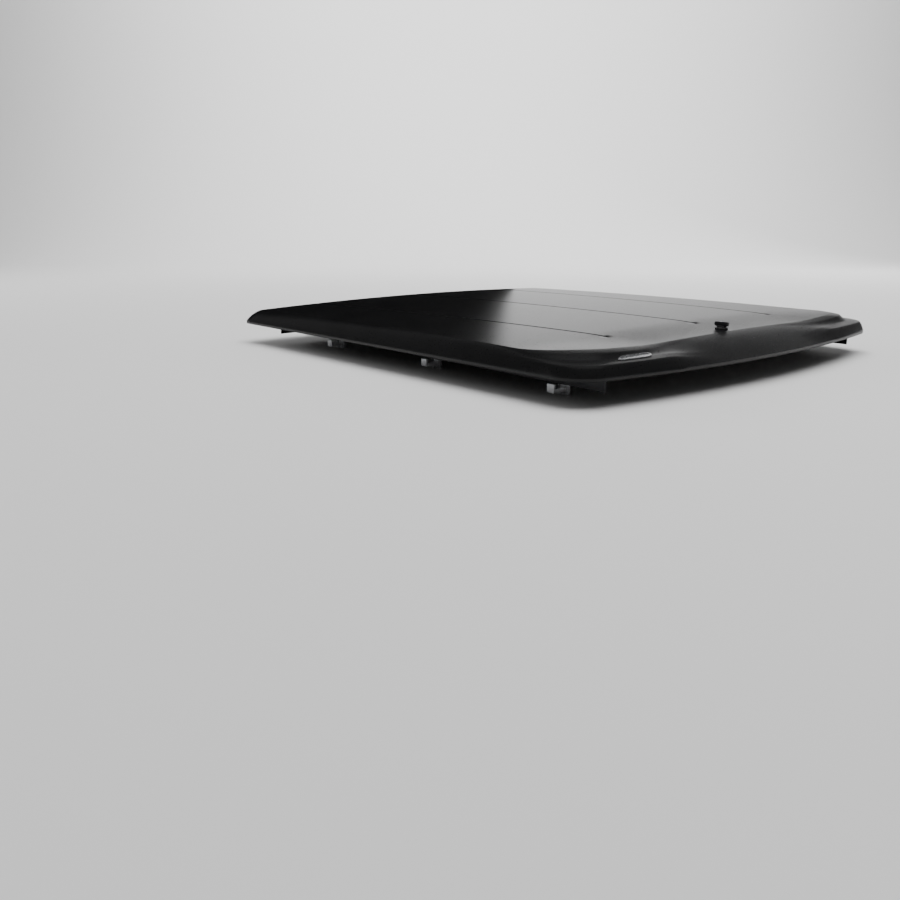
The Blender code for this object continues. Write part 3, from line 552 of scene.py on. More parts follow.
def cut(piece, cutter):
    """Subtract a cutter from a piece, and drop the cutter."""
    tool = piece.modifiers.new("cut", "BOOLEAN")
    tool.object = cutter
    tool.solver = "EXACT"
    bpy.context.view_layer.update()
    graph = bpy.context.evaluated_depsgraph_get()
    mesh = bpy.data.meshes.new_from_object(piece.evaluated_get(graph))
    piece.modifiers.clear()
    piece.data = mesh
    mesh.set_sharp_from_angle(angle=math.radians(35))
    bpy.data.objects.remove(cutter, do_unlink=True)
    return piece


def screw(name, spot, axis, body, radius=0.0045, slot="steel"):
    """Button head with a drive recess, standing on a face at spot."""
    height = radius * 0.62
    profile = [(0.0, radius), (height * 0.35, radius), (height * 0.72, radius * 0.88),
               (height, radius * 0.58), (height, radius * 0.42), (height * 0.4, radius * 0.38)]
    return turned(name, profile, spot, axis, slot, body, 24)


def ring_profile(low, high, inner, outer, edge=0.0005):
    """Section of a ring with broken edges, for turned(closed=False)."""
    return [(low, inner + edge), (low, outer - edge), (low + edge, outer), (high - edge, outer),
            (high, outer - edge), (high, inner + edge), (high - edge, inner), (low + edge, inner)]


# Lid shell ------------------------------------------------------------------------------------

def deck_height(x, y):
    """Height of the crowned deck above the skirt's lower edge."""
    run = y - DECK_CREST_Y
    drop = DECK_FRONT_DROP if run > 0 else DECK_REAR_DROP
    rear = smooth(0, TAIL_LENGTH, TAIL_START_Y - y)
    tail = TAIL_DROP * rear * (1 - smooth(*TAIL_HALF_WIDTH, abs(x)))
    rise = CORNER_RISE * rear * smooth(*CORNER_RISE_X, abs(x))
    return DECK_CREST_Z - DECK_SIDE_DROP * x * x - drop * run * run - tail + rise


def rounded_plan(column, row, half_width, rear_y, corner):
    """Plan position of a grid node on a half rectangle with one round rear corner.

    column and row run from 0 to 1 over the straight stretch and from 1 to 2 round the corner.
    """
    across = max(0.0, column - 1)
    along = max(0.0, row - 1)
    x = min(column, 1) * (half_width - corner) + corner * across * math.sqrt(1 - along ** 2 / 2)
    straight = FRONT_Y - rear_y - corner
    y = FRONT_Y - min(row, 1) * straight - corner * along * math.sqrt(1 - across ** 2 / 2)
    return x, y


def deck_plan(column, row):
    return rounded_plan(column, row, DECK_HALF_WIDTH, DECK_REAR_Y, DECK_CORNER)


def skirt_plan(column, row):
    x, y = rounded_plan(column, row, REAR_HALF_WIDTH, REAR_Y, SKIRT_CORNER)
    y += REAR_BOW * (x / REAR_HALF_WIDTH) ** 2 * min(row, 1)
    half_width = lerp(REAR_HALF_WIDTH, FRONT_HALF_WIDTH, (y - REAR_Y) / LENGTH)
    return x * half_width / REAR_HALF_WIDTH, y


def ledge_strength(column, row):
    """1 round the rear corner, fading to 0 along the side and towards the middle of the rear."""
    x, y = deck_plan(column, row)
    return smooth(*LEDGE_REAR_X, x) * (1 - smooth(*LEDGE_SIDE_Y, y))


def ledge_limits(ledge):
    """Where the ledge starts and ends across the side: it narrows to nothing as it fades."""
    outer = lerp(LEDGE_OUTER_END, LEDGE_OUTER, ledge)
    return outer, lerp(LEDGE_OUTER_END + 0.02, LEDGE_INNER, ledge)


def side_height(fraction, top, ledge, rearward):
    """Height of the side from the skirt's edge (0) to the deck's edge (1)."""
    rounded = math.sin(fraction * math.pi / 2)
    full = rounded ** SIDE_POWER
    plain = SKIRT_LIP + (top - SKIRT_LIP) * lerp(full, (rounded + fraction) / 2, rearward)
    outer, inner = ledge_limits(ledge)
    shoulder = lerp(*SHOULDER_START, ledge)
    foot = LEDGE_Z + LEDGE_RISE
    if fraction < outer:
        turn = math.sin(fraction / outer * math.pi / 2)
        shelf = SKIRT_LIP + (LEDGE_Z - SKIRT_LIP) * turn
    elif fraction < inner:
        shelf = LEDGE_Z + LEDGE_RISE * (fraction - outer) / (inner - outer)
    elif fraction < shoulder:
        climb = ((fraction - inner) / (shoulder - inner)) ** WALL_POWER
        shelf = lerp(foot, top - SHOULDER_DROP, climb)
    else:
        fall = (1 - fraction) / (1 - shoulder)
        shelf = top - SHOULDER_DROP * lerp(fall, fall * fall, SHOULDER_CURVE)
    return lerp(plain, shelf, min(1, 2 * ledge))


def side_point(column, row, fraction):
    """A point of the side band, from the skirt's edge (0) to the deck's edge (1)."""
    deck_x, deck_y = deck_plan(column, row)
    skirt_x, skirt_y = skirt_plan(column, row)
    rearward = smooth(1, 2, row) if column < 2 else 0.0
    top = deck_height(deck_x, deck_y)
    height = side_height(fraction, top, ledge_strength(column, row), rearward)
    x = lerp(skirt_x, deck_x, fraction)
    y = lerp(skirt_y, deck_y, fraction)
    return x, y, SKIRT_Z + height


def side_fractions(ledge):
    """Rows of the side: dense where the section turns."""
    outer, inner = ledge_limits(ledge)
    shoulder = lerp(*SHOULDER_START, ledge)
    low = [outer * step / 7 for step in range(8)]
    middle = [lerp(outer, inner, step / 5) for step in range(1, 6)]
    wall = [lerp(inner, shoulder, step / 9) for step in range(1, 10)]
    high = [lerp(shoulder, 1, share) for share in (0.2, 0.4, 0.6, 0.8, 0.93)]
    return low + middle + wall + high


def groove_at(y):
    """Where the side groove runs at that y, and how deep the grooves are there."""
    fade = 1 - smooth(0, GROOVE_FADE, GROOVE_END_Y + GROOVE_FADE - y)
    return SIDE_GROOVE_X + SIDE_GROOVE_SPLAY * (y - REAR_Y), GROOVE_DEPTH * fade


def deck_columns(y):
    """Half the deck from its centre line to its straight edge: (x, depth) pairs."""
    groove, depth = groove_at(y)
    line = [(0.0, depth), (GROOVE_HALF_FLAT, depth), (GROOVE_HALF_WIDTH, depth * 0.15),
            (GROOVE_SHOULDER, 0.0)]
    start, end = GROOVE_SHOULDER, groove - GROOVE_SHOULDER
    line += [(lerp(start, end, step / 16), 0.0) for step in range(1, 17)]
    line += [(groove - GROOVE_HALF_WIDTH, depth * 0.15), (groove - GROOVE_HALF_FLAT, depth),
             (groove + GROOVE_HALF_FLAT, depth), (groove + GROOVE_HALF_WIDTH, depth * 0.15)]
    start = groove + GROOVE_SHOULDER
    line += [(lerp(start, DECK_STRAIGHT, step / 6), 0.0) for step in range(7)]
    return line


def make_shell():
    """One half of the skin as deck and side band, then mirrored and given its thickness."""
    corner_steps = [1 + step / 14 for step in range(1, 14)] + [1.975, 2.0]
    rows = [step / 60 for step in range(61)] + sorted(corner_steps + GROOVE_END_ROWS)
    columns = [x / DECK_STRAIGHT for x, _ in deck_columns(DECK_REAR_Y)] + corner_steps
    shape = bmesh.new()
    deck = []
    for row in rows:
        line = []
        row_y = deck_plan(0.0, row)[1]
        for x, depth in deck_columns(row_y):
            y = deck_plan(x / DECK_STRAIGHT, row)[1]
            line.append(shape.verts.new((x, y, SKIRT_Z + deck_height(x, y) - depth)))
        for column in corner_steps:
            x, y = deck_plan(column, row)
            line.append(shape.verts.new((x, y, SKIRT_Z + deck_height(x, y))))
        deck.append(line)
    for front, back in zip(deck, deck[1:]):
        for index in range(len(columns) - 1):
            shape.faces.new((front[index], back[index], back[index + 1], front[index + 1]))
    edge = [(2, row, line[-1]) for row, line in zip(rows, deck)]
    edge += [(column, 2, vert) for column, vert in zip(columns[-2::-1], deck[-1][-2::-1])]
    strips = []
    for column, row, top in edge:
        strip = [shape.verts.new((*skirt_plan(column, row), SKIRT_Z))]
        for fraction in side_fractions(ledge_strength(column, row)):
            strip.append(shape.verts.new(side_point(column, row, fraction)))
        strips.append(strip + [top])
    for near, far in zip(strips, strips[1:]):
        for index in range(len(near) - 1):
            shape.faces.new((near[index], near[index + 1], far[index + 1], far[index]))
    bmesh.ops.recalc_face_normals(shape, faces=shape.faces)
    inside = deck[5][8]
    inside.normal_update()
    if inside.normal.z < 0:
        bmesh.ops.reverse_faces(shape, faces=shape.faces)
    shape.verts.index_update()
    crease = {top.index for _, _, top in edge if top.co.y < CREASE_Y}
    shell = finished("shell_skin", shape, "shell", "lid", 38)
    sharp = shell.data.attributes["sharp_edge"].data
    for line in shell.data.edges:
        if crease.issuperset(line.vertices):
            sharp[line.index].value = True
    mirror = shell.modifiers.new("other half", "MIRROR")
    mirror.merge_threshold = 0.0001
    skin = shell.modifiers.new("wall", "SOLIDIFY")
    skin.thickness = SHELL_THICKNESS
    skin.offset = -1
    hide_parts("lid_shell")


# Under the lid --------------------------------------------------------------------------------

def arc(centre, radius, start, end, steps):
    """Points on an arc round centre; the angles are in degrees."""
    points = []
    for step in range(steps + 1):
        angle = math.radians(lerp(start, end, step / steps))
        points.append((centre[0] + radius * math.cos(angle),
                       centre[1] + radius * math.sin(angle)))
    return points


def liner_outline(inset, steps=18):
    """The lining's outline, moved inwards, from the front left corner round the rear."""
    reach = LINER_HALF_WIDTH - LINER_CORNER
    low = LINER_REAR_Y + LINER_CORNER
    radius = LINER_CORNER - inset
    line = [(-LINER_HALF_WIDTH + inset, LINER_FRONT_Y - inset)]
    line += arc((-reach, low), radius, 180, 270, steps)
    line += arc((reach, low), radius, 270, 360, steps)
    return line + [(LINER_HALF_WIDTH - inset, LINER_FRONT_Y - inset)]


def bead(name, path, half_width, height, slot, body, base, cyclic=True):
    """A half-round bead along a flat path, hanging under the height base."""
    shape = bmesh.new()
    count = len(path)
    rings = []
    for index, spot in enumerate(path):
        spot = Vector(spot)
        before = Vector(path[index - 1]) if cyclic or index else spot
        after = Vector(path[(index + 1) % count]) if cyclic or index < count - 1 else spot
        along = (after - before).normalized()
        across = Vector((-along.y, along.x))
        ring = []
        for step in range(9):
            angle = math.pi * step / 8
            place = spot + across * half_width * math.cos(angle)
            ring.append(shape.verts.new((place.x, place.y, base - height * math.sin(angle))))
        rings.append(ring)
    pairs = list(zip(rings, rings[1:])) + ([(rings[-1], rings[0])] if cyclic else [])
    for near, far in pairs:
        bridge(shape, near, far)
    if not cyclic:
        shape.faces.new(rings[0])
        shape.faces.new(rings[-1][::-1])
    bmesh.ops.recalc_face_normals(shape, faces=shape.faces)
    return finished(name, shape, slot, body)


def make_lining():
    """Panel with a bound edge, pressed beads between the fixtures, and push rivets."""
    refine("lid_liner", 0.0008)
    bead("liner_binding", liner_outline(0.0045), 0.0042, 0.0016, "rubber", "lid", LINER_Z)
    for side, name in SIDES:
        for number, x in enumerate(BEAD_X):
            path = [(side * x, y) for y in BEAD_Y]
            bead(f"liner_bead_{name}_{number}", path, 0.009, 0.0022, "liner", "lid", LINER_Z, False)
    rivets = [(side * RIVET_X, y) for side in (-1, 1) for y in RIVET_Y]
    rivets += [(x, RIVET_REAR_Y) for x in RIVET_REAR_X] + [(x, RIVET_FRONT_Y) for x in RIVET_REAR_X]
    for number, (x, y) in enumerate(rivets):
        profile = [(0.0, 0.0085), (0.0006, 0.0085), (0.0016, 0.0070), (0.0018, 0.0030),
                   (0.0012, 0.0026)]
        turned(f"liner_rivet_{number}", profile, (x, y, LINER_Z), (0, 0, -1), "liner", "lid", 24)


def bulb(name, centre, radius, low, top, plane, span, body):
    """A solid D seal on a foot; top is below low where the seal hangs."""
    up = 1 if top > low else -1
    foot = low + up * 0.0022
    line = [(centre - radius, low), (centre + radius, low), (centre + radius, foot),
            (centre + radius * 0.86, foot + up * 0.0006)]
    middle = top - up * radius * 0.97
    for step in range(1, 18):
        angle = math.pi * step / 18
        line.append((centre + radius * 0.97 * math.cos(angle),
                     middle + up * radius * 0.97 * math.sin(angle)))
    line += [(centre - radius * 0.86, foot + up * 0.0006), (centre - radius, foot)]
    return extruded(name, line, plane, span, "rubber", body)


def make_seals():
    low = FLANGE_TOP + GAP
    for side, name in SIDES:
        seal = bulb("bulb_" + name, side * SEAL_X, SEAL_RADIUS, low, SEAL_TOP, "XZ", SEAL_Y, "root")
        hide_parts("rail_seal_" + name)
    reach = (-HEADER_SEAL_REACH, HEADER_SEAL_REACH)
    seal = bulb("bulb_header", HEADER_SEAL_Y, HEADER_SEAL_RADIUS, low, SEAL_TOP, "YZ", reach, "root")
    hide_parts("header_seal")
    reach = (-SEAL_REAR_REACH, SEAL_REAR_REACH)
    seal = bulb("bulb_tailgate", SEAL_REAR_Y, SEAL_RADIUS, LINER_Z - GAP, SEAL_REAR_LOW, "YZ",
                reach, "lid")
    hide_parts("tailgate_seal")


def make_lamp():
    """Press lamp: housing with a stepped rim, a lens with moulded rings, and two screws."""
    top = LINER_Z - GAP
    profile = [(0.0, 0.0360), (0.0015, 0.0366), (0.0030, 0.0366), (0.0040, 0.0352),
               (0.0105, 0.0344), (0.0112, 0.0352), (0.0126, 0.0350), (LAMP_FACE, 0.0340),
               (LAMP_FACE, 0.0294), (0.0122, LAMP_BORE), (LAMP_BACK, LAMP_BORE)]
    case = turned("lamp_case", profile, (0, LAMP_Y, top), (0, 0, -1), "liner", "lid", 72)
    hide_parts("lamp_housing")
    wide = LAMP_BORE - GAP
    back, front = LENS_Z[1], LENS_Z[0]
    profile = [(back, wide - 0.0012), (back + 0.0006, wide), (front - 0.0018, wide),
               (front - 0.0006, wide - 0.0008), (front, wide - 0.0028)]
    for step in range(1, LENS_RINGS + 1):
        radius = wide - 0.0028 - 0.0032 * step
        profile += [(front - 0.0008, radius + 0.0017), (front - 0.0001, radius)]
    lens = turned("lamp_diffuser", profile, (0, LAMP_Y, top), (0, 0, -1), "lamp", "lamp_lens", 72)
    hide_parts("lamp_lens")
    for side in (-1, 1):
        screw(f"lamp_screw_{side + 1}", (side * LAMP_SCREW_REACH, LAMP_Y, top - LAMP_FACE),
              (0, 0, -1), "lid", 0.0021)


# Fixed frame ----------------------------------------------------------------------------------

def make_rails():
    """Rails, corner plates and their screws, rest pads on the rails, and the header."""
    for side, name in SIDES:
        refine("side_rail_" + name, 0.0007, 3)
        refine("corner_bracket_" + name, 0.0005)
        plate_top = FLANGE_TOP + GAP + BRACKET_THICKNESS
        for number, y in enumerate(CORNER_SCREW_Y):
            screw(f"corner_screw_{name}_{number}", (side * CORNER_SCREW_X, y, plate_top),
                  (0, 0, 1), "root", 0.0065)
        for number, y in enumerate(REST_PAD_Y):
            low = (side * REST_PAD_X[0], y - REST_PAD_HALF_LENGTH, FLANGE_TOP)
            high = (side * REST_PAD_X[1], y + REST_PAD_HALF_LENGTH, FLANGE_TOP + REST_PAD_HEIGHT)
            box_piece(f"rest_pad_{name}_{number}", low, high, "rubber", "root", 0.0018)
    refine("header_rail", 0.0007, 3)


def make_hinges():
    """Bases on the header, leaves on the lid, their screws, and a pull-out pin through each."""
    for side, name in SIDES:
        x = side * HINGE_X
        refine("hinge_base_" + name, 0.0005)
        refine("hinge_leaf_" + name, 0.0005)
        floor = FLANGE_TOP + GAP + LEAF_THICKNESS
        roof = LINER_Z - GAP - LEAF_THICKNESS
        for number, shift in enumerate(BASE_SCREW_SHIFTS):
            screw(f"base_screw_{name}_{number}", (x + shift, BASE_SCREW_Y, floor), (0, 0, 1),
                  "root", 0.0052)
        for number, shift in enumerate(LEAF_SCREW_SHIFTS):
            screw(f"leaf_screw_{name}_{number}", (x + shift, LEAF_SCREW_Y, roof), (0, 0, -1),
                  "lid", 0.0046)
        inside = x - side * (HINGE_HALF + 0.004)
        length = 2 * HINGE_HALF + 0.006
        radius = PIN_RADIUS
        flange = length + 0.0006
        profile = [(0.0, radius * 0.55), (0.0012, radius), (0.0022, radius), (0.0024, radius * 0.8),
                   (0.0032, radius * 0.8), (0.0034, radius), (length - 0.001, radius),
                   (length, 0.0048), (flange, 0.0055), (flange + 0.0018, 0.0055),
                   (flange + 0.0026, 0.0048), (flange + 0.0030, 0.0036), (flange + 0.0064, 0.0036),
                   (flange + 0.0072, 0.0050), (flange + 0.0092, 0.0052), (flange + 0.0104, 0.0046),
                   (flange + 0.0110, 0.0030)]
        pin = turned("pull_pin_" + name, profile, (inside, HINGE_Y, HINGE_Z), (side, 0, 0), "steel",
                     "hinge_pin_" + name)
        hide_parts("hinge_pin_" + name)


def make_strut(side, name):
    """Painted tube with a rolled neck, bright rod, and a socket on each stud."""
    x = side * STRUT_X
    start = Vector((x, *STRUT_LOW))
    end = Vector((x, *STRUT_HIGH))
    along = (end - start).normalized()
    length = (end - start).length
    width = TUBE_RADIUS
    neck = TUBE_END - 0.018
    profile = [(0.0088, 0.0050), (0.0120, 0.0058), (0.0126, 0.0084), (0.0140, width),
               (0.0300, width), (0.0306, width - 0.0005), (0.0322, width - 0.0005),
               (0.0328, width), (neck, width), (neck + 0.0015, width - 0.0011),
               (neck + 0.0045, width - 0.0011), (neck + 0.0060, width), (TUBE_END - 0.0032, width),
               (TUBE_END - 0.0008, width - 0.0012), (TUBE_END, width - 0.0032),
               (TUBE_END, TUBE_BORE), (TUBE_BORE_START + 0.002, TUBE_BORE)]
    tube = turned("gas_tube_" + name, profile, start, along, "strut_tube", "strut_tube_" + name)
    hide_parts("strut_tube_" + name)
    half = EYE_HALF_WIDTH
    body = "strut_tube_" + name
    lower = ring_profile(-half, half, LOWER_EYE[1], LOWER_EYE[0], 0.0009)
    turned("lower_socket_" + name, lower, start, (1, 0, 0), "strut_tube", body, 40, False)
    rim = ring_profile(half - 0.0002, half + 0.0004, LOWER_EYE[0] - 0.0028, LOWER_EYE[0] - 0.0014,
                       0.0001)
    turned("lower_clip_" + name, rim, start, (-side, 0, 0), "steel", body, 40, False)
    body = "strut_rod_" + name
    radius = ROD_RADIUS
    tip = length - UPPER_EYE[1] - 0.0010
    profile = [(ROD_START, radius * 0.8), (ROD_START + 0.0008, radius), (tip - 0.0105, radius),
               (tip - 0.0102, 0.0056), (tip - 0.0092, 0.0060), (tip - 0.0060, 0.0060),
               (tip - 0.0050, 0.0048), (tip, 0.0046)]
    rod = turned("gas_rod_" + name, profile, start, along, "steel", body)
    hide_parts("strut_rod_" + name)
    upper = ring_profile(-half, half, UPPER_EYE[1], UPPER_EYE[0], 0.0009)
    turned("upper_socket_" + name, upper, end, (1, 0, 0), "strut_tube", body, 40, False)
    refine("strut_mount_" + name, 0.0006)
    face = side * (RAIL_X - GAP - MOUNT_THICKNESS)
    for number, y in enumerate((MOUNT_Y[0] + 0.007, MOUNT_Y[1] - 0.007)):
        screw(f"mount_screw_{name}_{number}", (face, y, MOUNT_Z[1] - 0.008), (-side, 0, 0), "root",
              0.0046)
    stop = x - side * (STUD_REACH - 0.0012)
    turned("stud_clip_" + name, ring_profile(0.0, 0.0010, STUD_RADIUS, 0.0062, 0.0002),
           (stop, *STRUT_LOW), (-side, 0, 0), "steel", "root", 32, False)
    refine("strut_bracket_" + name, 0.0005)
    roof = LINER_Z - GAP - PLATE_THICKNESS
    for number, shift in enumerate(BRACKET_SCREW_SHIFTS):
        spot = (side * BRACKET_SCREW_X, STRUT_HIGH[0] + shift, roof)
        screw(f"bracket_screw_{name}_{number}", spot, (0, 0, -1), "lid", 0.0044)


def make_keeper(side, name):
    refine("latch_keeper_" + name, 0.0006)
    y = LOCK_Y + side * ROD_OFFSET_Y
    floor = FLANGE_TOP + GAP + KEEPER_FLOOR
    for number, shift in enumerate(KEEPER_SCREWS[1]):
        spot = (side * (KEEPER_X[0] + KEEPER_SCREWS[0]), y + shift, floor)
        screw(f"keeper_screw_{name}_{number}", spot, (0, 0, 1), "root", 0.0032)


def make_clamp(side, label, y):
    """Clamp body, toothed jaw, and a bolt with a flanged head and rings for its thread."""
    refine("clamp_body_" + label, 0.0012, 3)
    jaw = "clamp_jaw_" + label
    refine(jaw, 0.0010, 3)
    _, lip, end = JAW_X
    reach = JAW_HALF_LENGTH - 0.002
    for step in range(JAW_TEETH):
        near = lerp(y - reach, y + reach, (step + 0.2) / JAW_TEETH)
        low = (side * (lip + 0.0010), near, JAW_Z[2] - 0.0004)
        high = (side * (end - 0.0010), near + 0.0032, JAW_Z[2] + 0.0009)
        box_piece(f"jaw_tooth_{label}_{step}", low, high, "aluminium", jaw, 0.0004, 2)
    bolt = "clamp_bolt_" + label
    bottom, seat, tip = BOLT_Z
    thread = []
    z = seat + 0.0150
    while z < tip - 0.0020:
        thread += [(z, BOLT_RADIUS), (z + THREAD_PITCH * 0.5, BOLT_RADIUS - 0.0007)]
        z += THREAD_PITCH
    profile = [(seat - 0.0005, BOLT_RADIUS), (seat + 0.0140, BOLT_RADIUS),
               (seat + 0.0144, BOLT_RADIUS - 0.0006)] + thread
    profile += [(tip - 0.0008, BOLT_RADIUS - 0.0006), (tip, BOLT_RADIUS - 0.0014)]
    spot = (side * CLAMP_BOLT_X, y, 0.0)
    shank = turned("bolt_shank_" + label, profile, spot, (0, 0, 1), "steel", bolt, 20)
    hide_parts(bolt)
    wide = BOLT_HEAD_RADIUS
    profile = [(bottom + 0.0020, wide * 0.40), (bottom, wide * 0.46), (bottom, wide * 0.84),
               (bottom + 0.0010, wide), (seat - 0.0022, wide)]
    turned("bolt_head_" + label, profile, spot, (0, 0, 1), "steel", bolt, 6)
    profile = ring_profile(seat - 0.0020, seat, BOLT_RADIUS, wide + 0.0012, 0.0003)
    turned("bolt_flange_" + label, profile, spot, (0, 0, 1), "steel", bolt, 32, False)


# Lock -----------------------------------------------------------------------------------------

def make_gasket(deck):
    """Rubber washer that fills the wedge between the flat bezel and the curved deck."""
    sides = 56
    shape = bmesh.new()
    rings = []
    for radius, height in ((BEZEL_RADIUS + 0.0004, None), (BEZEL_RADIUS + 0.0006, BEZEL_Z[0]),
                           (LOCK_HOLE + 0.0008, BEZEL_Z[0]), (LOCK_HOLE + 0.0008, None)):
        ring = []
        for step in range(sides):
            angle = math.tau * step / sides
            x = radius * math.cos(angle)
            y = LOCK_Y + radius * math.sin(angle)
            z = deck + height if height else SKIRT_Z + deck_height(x, y) - 0.0002
            ring.append(shape.verts.new((x, y, z)))
        rings.append(ring)
    for near, far in zip(rings, rings[1:] + rings[:1]):
        bridge(shape, near, far)
    bmesh.ops.recalc_face_normals(shape, faces=shape.faces)
    finished("bezel_gasket", shape, "rubber", "lid")


def make_lock():
    """Gasketed bezel, T-shaped knob with a key barrel, cam, cranks and latch rods."""
    deck = SKIRT_Z + deck_height(0, LOCK_Y)
    make_gasket(deck)
    low, high = BEZEL_Z
    profile = [(low, LOCK_HOLE), (low, BEZEL_RADIUS), (low + 0.0014, BEZEL_RADIUS),
               (low + 0.0018, BEZEL_RADIUS - 0.0006), (high - 0.0014, BEZEL_RADIUS * 0.95),
               (high - 0.0004, BEZEL_RADIUS * 0.92), (high, BEZEL_RADIUS * 0.88),
               (high, BEZEL_RADIUS * 0.70), (high - 0.0008, BEZEL_RADIUS * 0.67),
               (high - 0.0008, LOCK_HOLE + 0.0004), (high - 0.0012, LOCK_HOLE)]
    bezel = turned("bezel_ring", profile, (0, LOCK_Y, deck), (0, 0, 1), "black_steel", "lid", 64,
                   False)
    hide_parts("lock_bezel")
    spot = Vector((0, LOCK_Y, deck))
    start, shoulder, waist, top = KNOB_Z
    wide = KNOB_RADIUS
    profile = [(start, wide - 0.0008), (start + 0.0006, wide), (shoulder + 0.0008, wide),
               (shoulder + 0.0022, wide * 0.95), (waist - 0.0008, wide * 0.84),
               (waist, wide * 0.76), (waist + 0.0002, wide * 0.40)]
    turned("knob_base", profile, spot, (0, 0, 1), "knob", "lock_knob", 48)
    sections = []
    for share in GRIP_SHARES:
        far = abs(share)
        cap = math.sqrt(max(0.02, 1 - max(0.0, (far - 0.88) / 0.12) ** 2))
        across = lerp(GRIP_HALF[0], 0.0060, smooth(0.18, 0.55, far)) + 0.0006 * smooth(0.5, 1, far)
        under = deck + shoulder + 0.0030 * smooth(0.55, 1, far)
        over = deck + top - 0.0014 * far ** 2
        spot_y = LOCK_Y + share * GRIP_HALF[1] * 0.93
        sections.append(((0, spot_y, (under + over) / 2), across * cap, (over - under) / 2 * cap,
                         0.42))
    grip = lofted("knob_grip", sections, "knob", "lock_knob", 48)
    hole = turned("knob_hole", [(PLUG_Z[0], PLUG_RADIUS + GAP), (0.04, PLUG_RADIUS + GAP)], spot,
                  (0, 0, 1), "knob", "lock_knob", 40)
    cut(grip, hole)
    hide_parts("lock_knob")
    collar = ring_profile(top - 0.0012, top + 0.0004, PLUG_RADIUS + GAP, PLUG_RADIUS + 0.0016,
                          0.0003)
    turned("key_collar", collar, spot, (0, 0, 1), "steel", "lock_knob", 48, False)
    low, high = PLUG_Z
    profile = [(low + GAP, PLUG_RADIUS - 0.0004), (low + 0.0008, PLUG_RADIUS),
               (high - 0.0006, PLUG_RADIUS), (high, PLUG_RADIUS - 0.0006),
               (high, PLUG_RADIUS - 0.0016), (high - 0.0003, PLUG_RADIUS - 0.0020)]
    plug = turned("key_barrel", profile, spot, (0, 0, 1), "steel", "key_plug", 40)
    half_x, half_y, depth = KEY_SLOT
    slot = box_piece("barrel_slot", (-half_x, LOCK_Y - half_y, deck + high - depth),
                     (half_x, LOCK_Y + half_y, deck + high + 0.01), "steel", "key_plug", 0.00001, 1)
    slot.modifiers.clear()
    cut(plug, slot)
    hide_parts("key_plug")
    refine("lock_cam", 0.0004)
    bottom = Vector((0, LOCK_Y, CAM_Z[0]))
    profile = [(0.0, 0.0052), (0.0004, 0.0060), (0.0034, 0.0060), (0.0040, 0.0052),
               (0.0040, 0.0032), (0.0052, 0.0030)]
    turned("cam_nut", profile, bottom, (0, 0, -1), "steel", "lock_knob", 6)
    offset = CRANK_RADIUS * math.sin(math.pi / 4)
    for side, name in SIDES:
        x = -side * offset
        y = LOCK_Y + side * offset
        clip = ring_profile(0.0004, 0.0012, CRANK_PIN_RADIUS - 0.0006, 0.0050, 0.0002)
        turned("crank_clip_" + name, clip, (x, y, ROD_Z[0]), (0, 0, -1), "steel", "lock_knob", 28,
               False)
        body = "latch_rod_" + name
        refine(body, 0.0006)
        y = LOCK_Y + side * ROD_OFFSET_Y
        low = (side * (ROD_TIP_X - 0.036), y - ROD_HALF_WIDTH - 0.0004, ROD_Z[0] - 0.0004)
        high = (side * (ROD_TIP_X + 0.0003), y + ROD_HALF_WIDTH + 0.0004, ROD_Z[1] + 0.0004)
        box_piece("rod_tip_" + name, low, high, "knob", body, 0.0018, 4)
        refine("rod_guide_" + name, 0.0008)
        for number, shift in enumerate(GUIDE_SCREW_SHIFTS):
            spot = (side * GUIDE_X, y + shift, GUIDE_LOW)
            screw(f"guide_screw_{name}_{number}", spot, (0, 0, -1), "lid", 0.0028)


# Badge ----------------------------------------------------------------------------------------

def badge_point(turn, share, lift):
    """A point of the rounded plate: its share of the way to the rim, and its height off the shell."""
    cosine, sine = math.cos(turn), math.sin(turn)
    wide = share * math.copysign(abs(cosine) ** BADGE_POWER, cosine)
    tall = share * math.copysign(abs(sine) ** BADGE_POWER, sine)
    column = BADGE_COLUMN + BADGE_HALF_COLUMN * wide
    fraction = BADGE_FRACTION + BADGE_HALF_FRACTION * tall
    spot = Vector(side_point(column, 2, fraction))
    wide = Vector(side_point(column + 0.002, 2, fraction)) - spot
    tall = Vector(side_point(column, 2, fraction + 0.002)) - spot
    normal = wide.cross(tall).normalized()
    if normal.z < 0:
        normal = -normal
    spot += normal * lift
    return (-spot.x, spot.y, spot.z)


def make_badge():
    """Plain plate with a raised rim, lifted a little off the shell; its face carries no mark."""
    sides = 72
    profile = [(0.30, 0.0020), (0.62, 0.0020), (0.80, 0.0020), (0.83, 0.0023), (0.86, 0.0030),
               (0.93, 0.0032), (0.985, 0.0029), (1.0, 0.0021), (1.0, 0.0009), (0.97, 0.0008)]
    shape = bmesh.new()
    rings = []
    for share, lift in profile:
        rings.append([shape.verts.new(badge_point(math.tau * side / sides, share, lift))
                      for side in range(sides)])
    for near, far in zip(rings, rings[1:]):
        bridge(shape, near, far)
    for ring, lift in ((rings[0], 0.0020), (rings[-1], 0.0008)):
        centre = shape.verts.new(badge_point(0.0, 0.0, lift))
        for side in range(sides):
            shape.faces.new((centre, ring[side], ring[(side + 1) % sides]))
    bmesh.ops.recalc_face_normals(shape, faces=shape.faces)
    plate = finished("badge_panel", shape, "badge", "lid", 50)
    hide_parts("badge_plate")


make_shell()
make_lining()
make_seals()
make_lamp()
make_rails()
make_hinges()
refine("front_trim", 0.0008)
for side, name in SIDES:
    refine("stiffener_" + name, 0.0006)
    make_strut(side, name)
    make_keeper(side, name)
    for number, y in enumerate(CLAMP_Y, 1):
        make_clamp(side, f"{name}_{number}", y)
make_lock()
make_badge()


# Stage, light and camera ----------------------------------------------------------------------

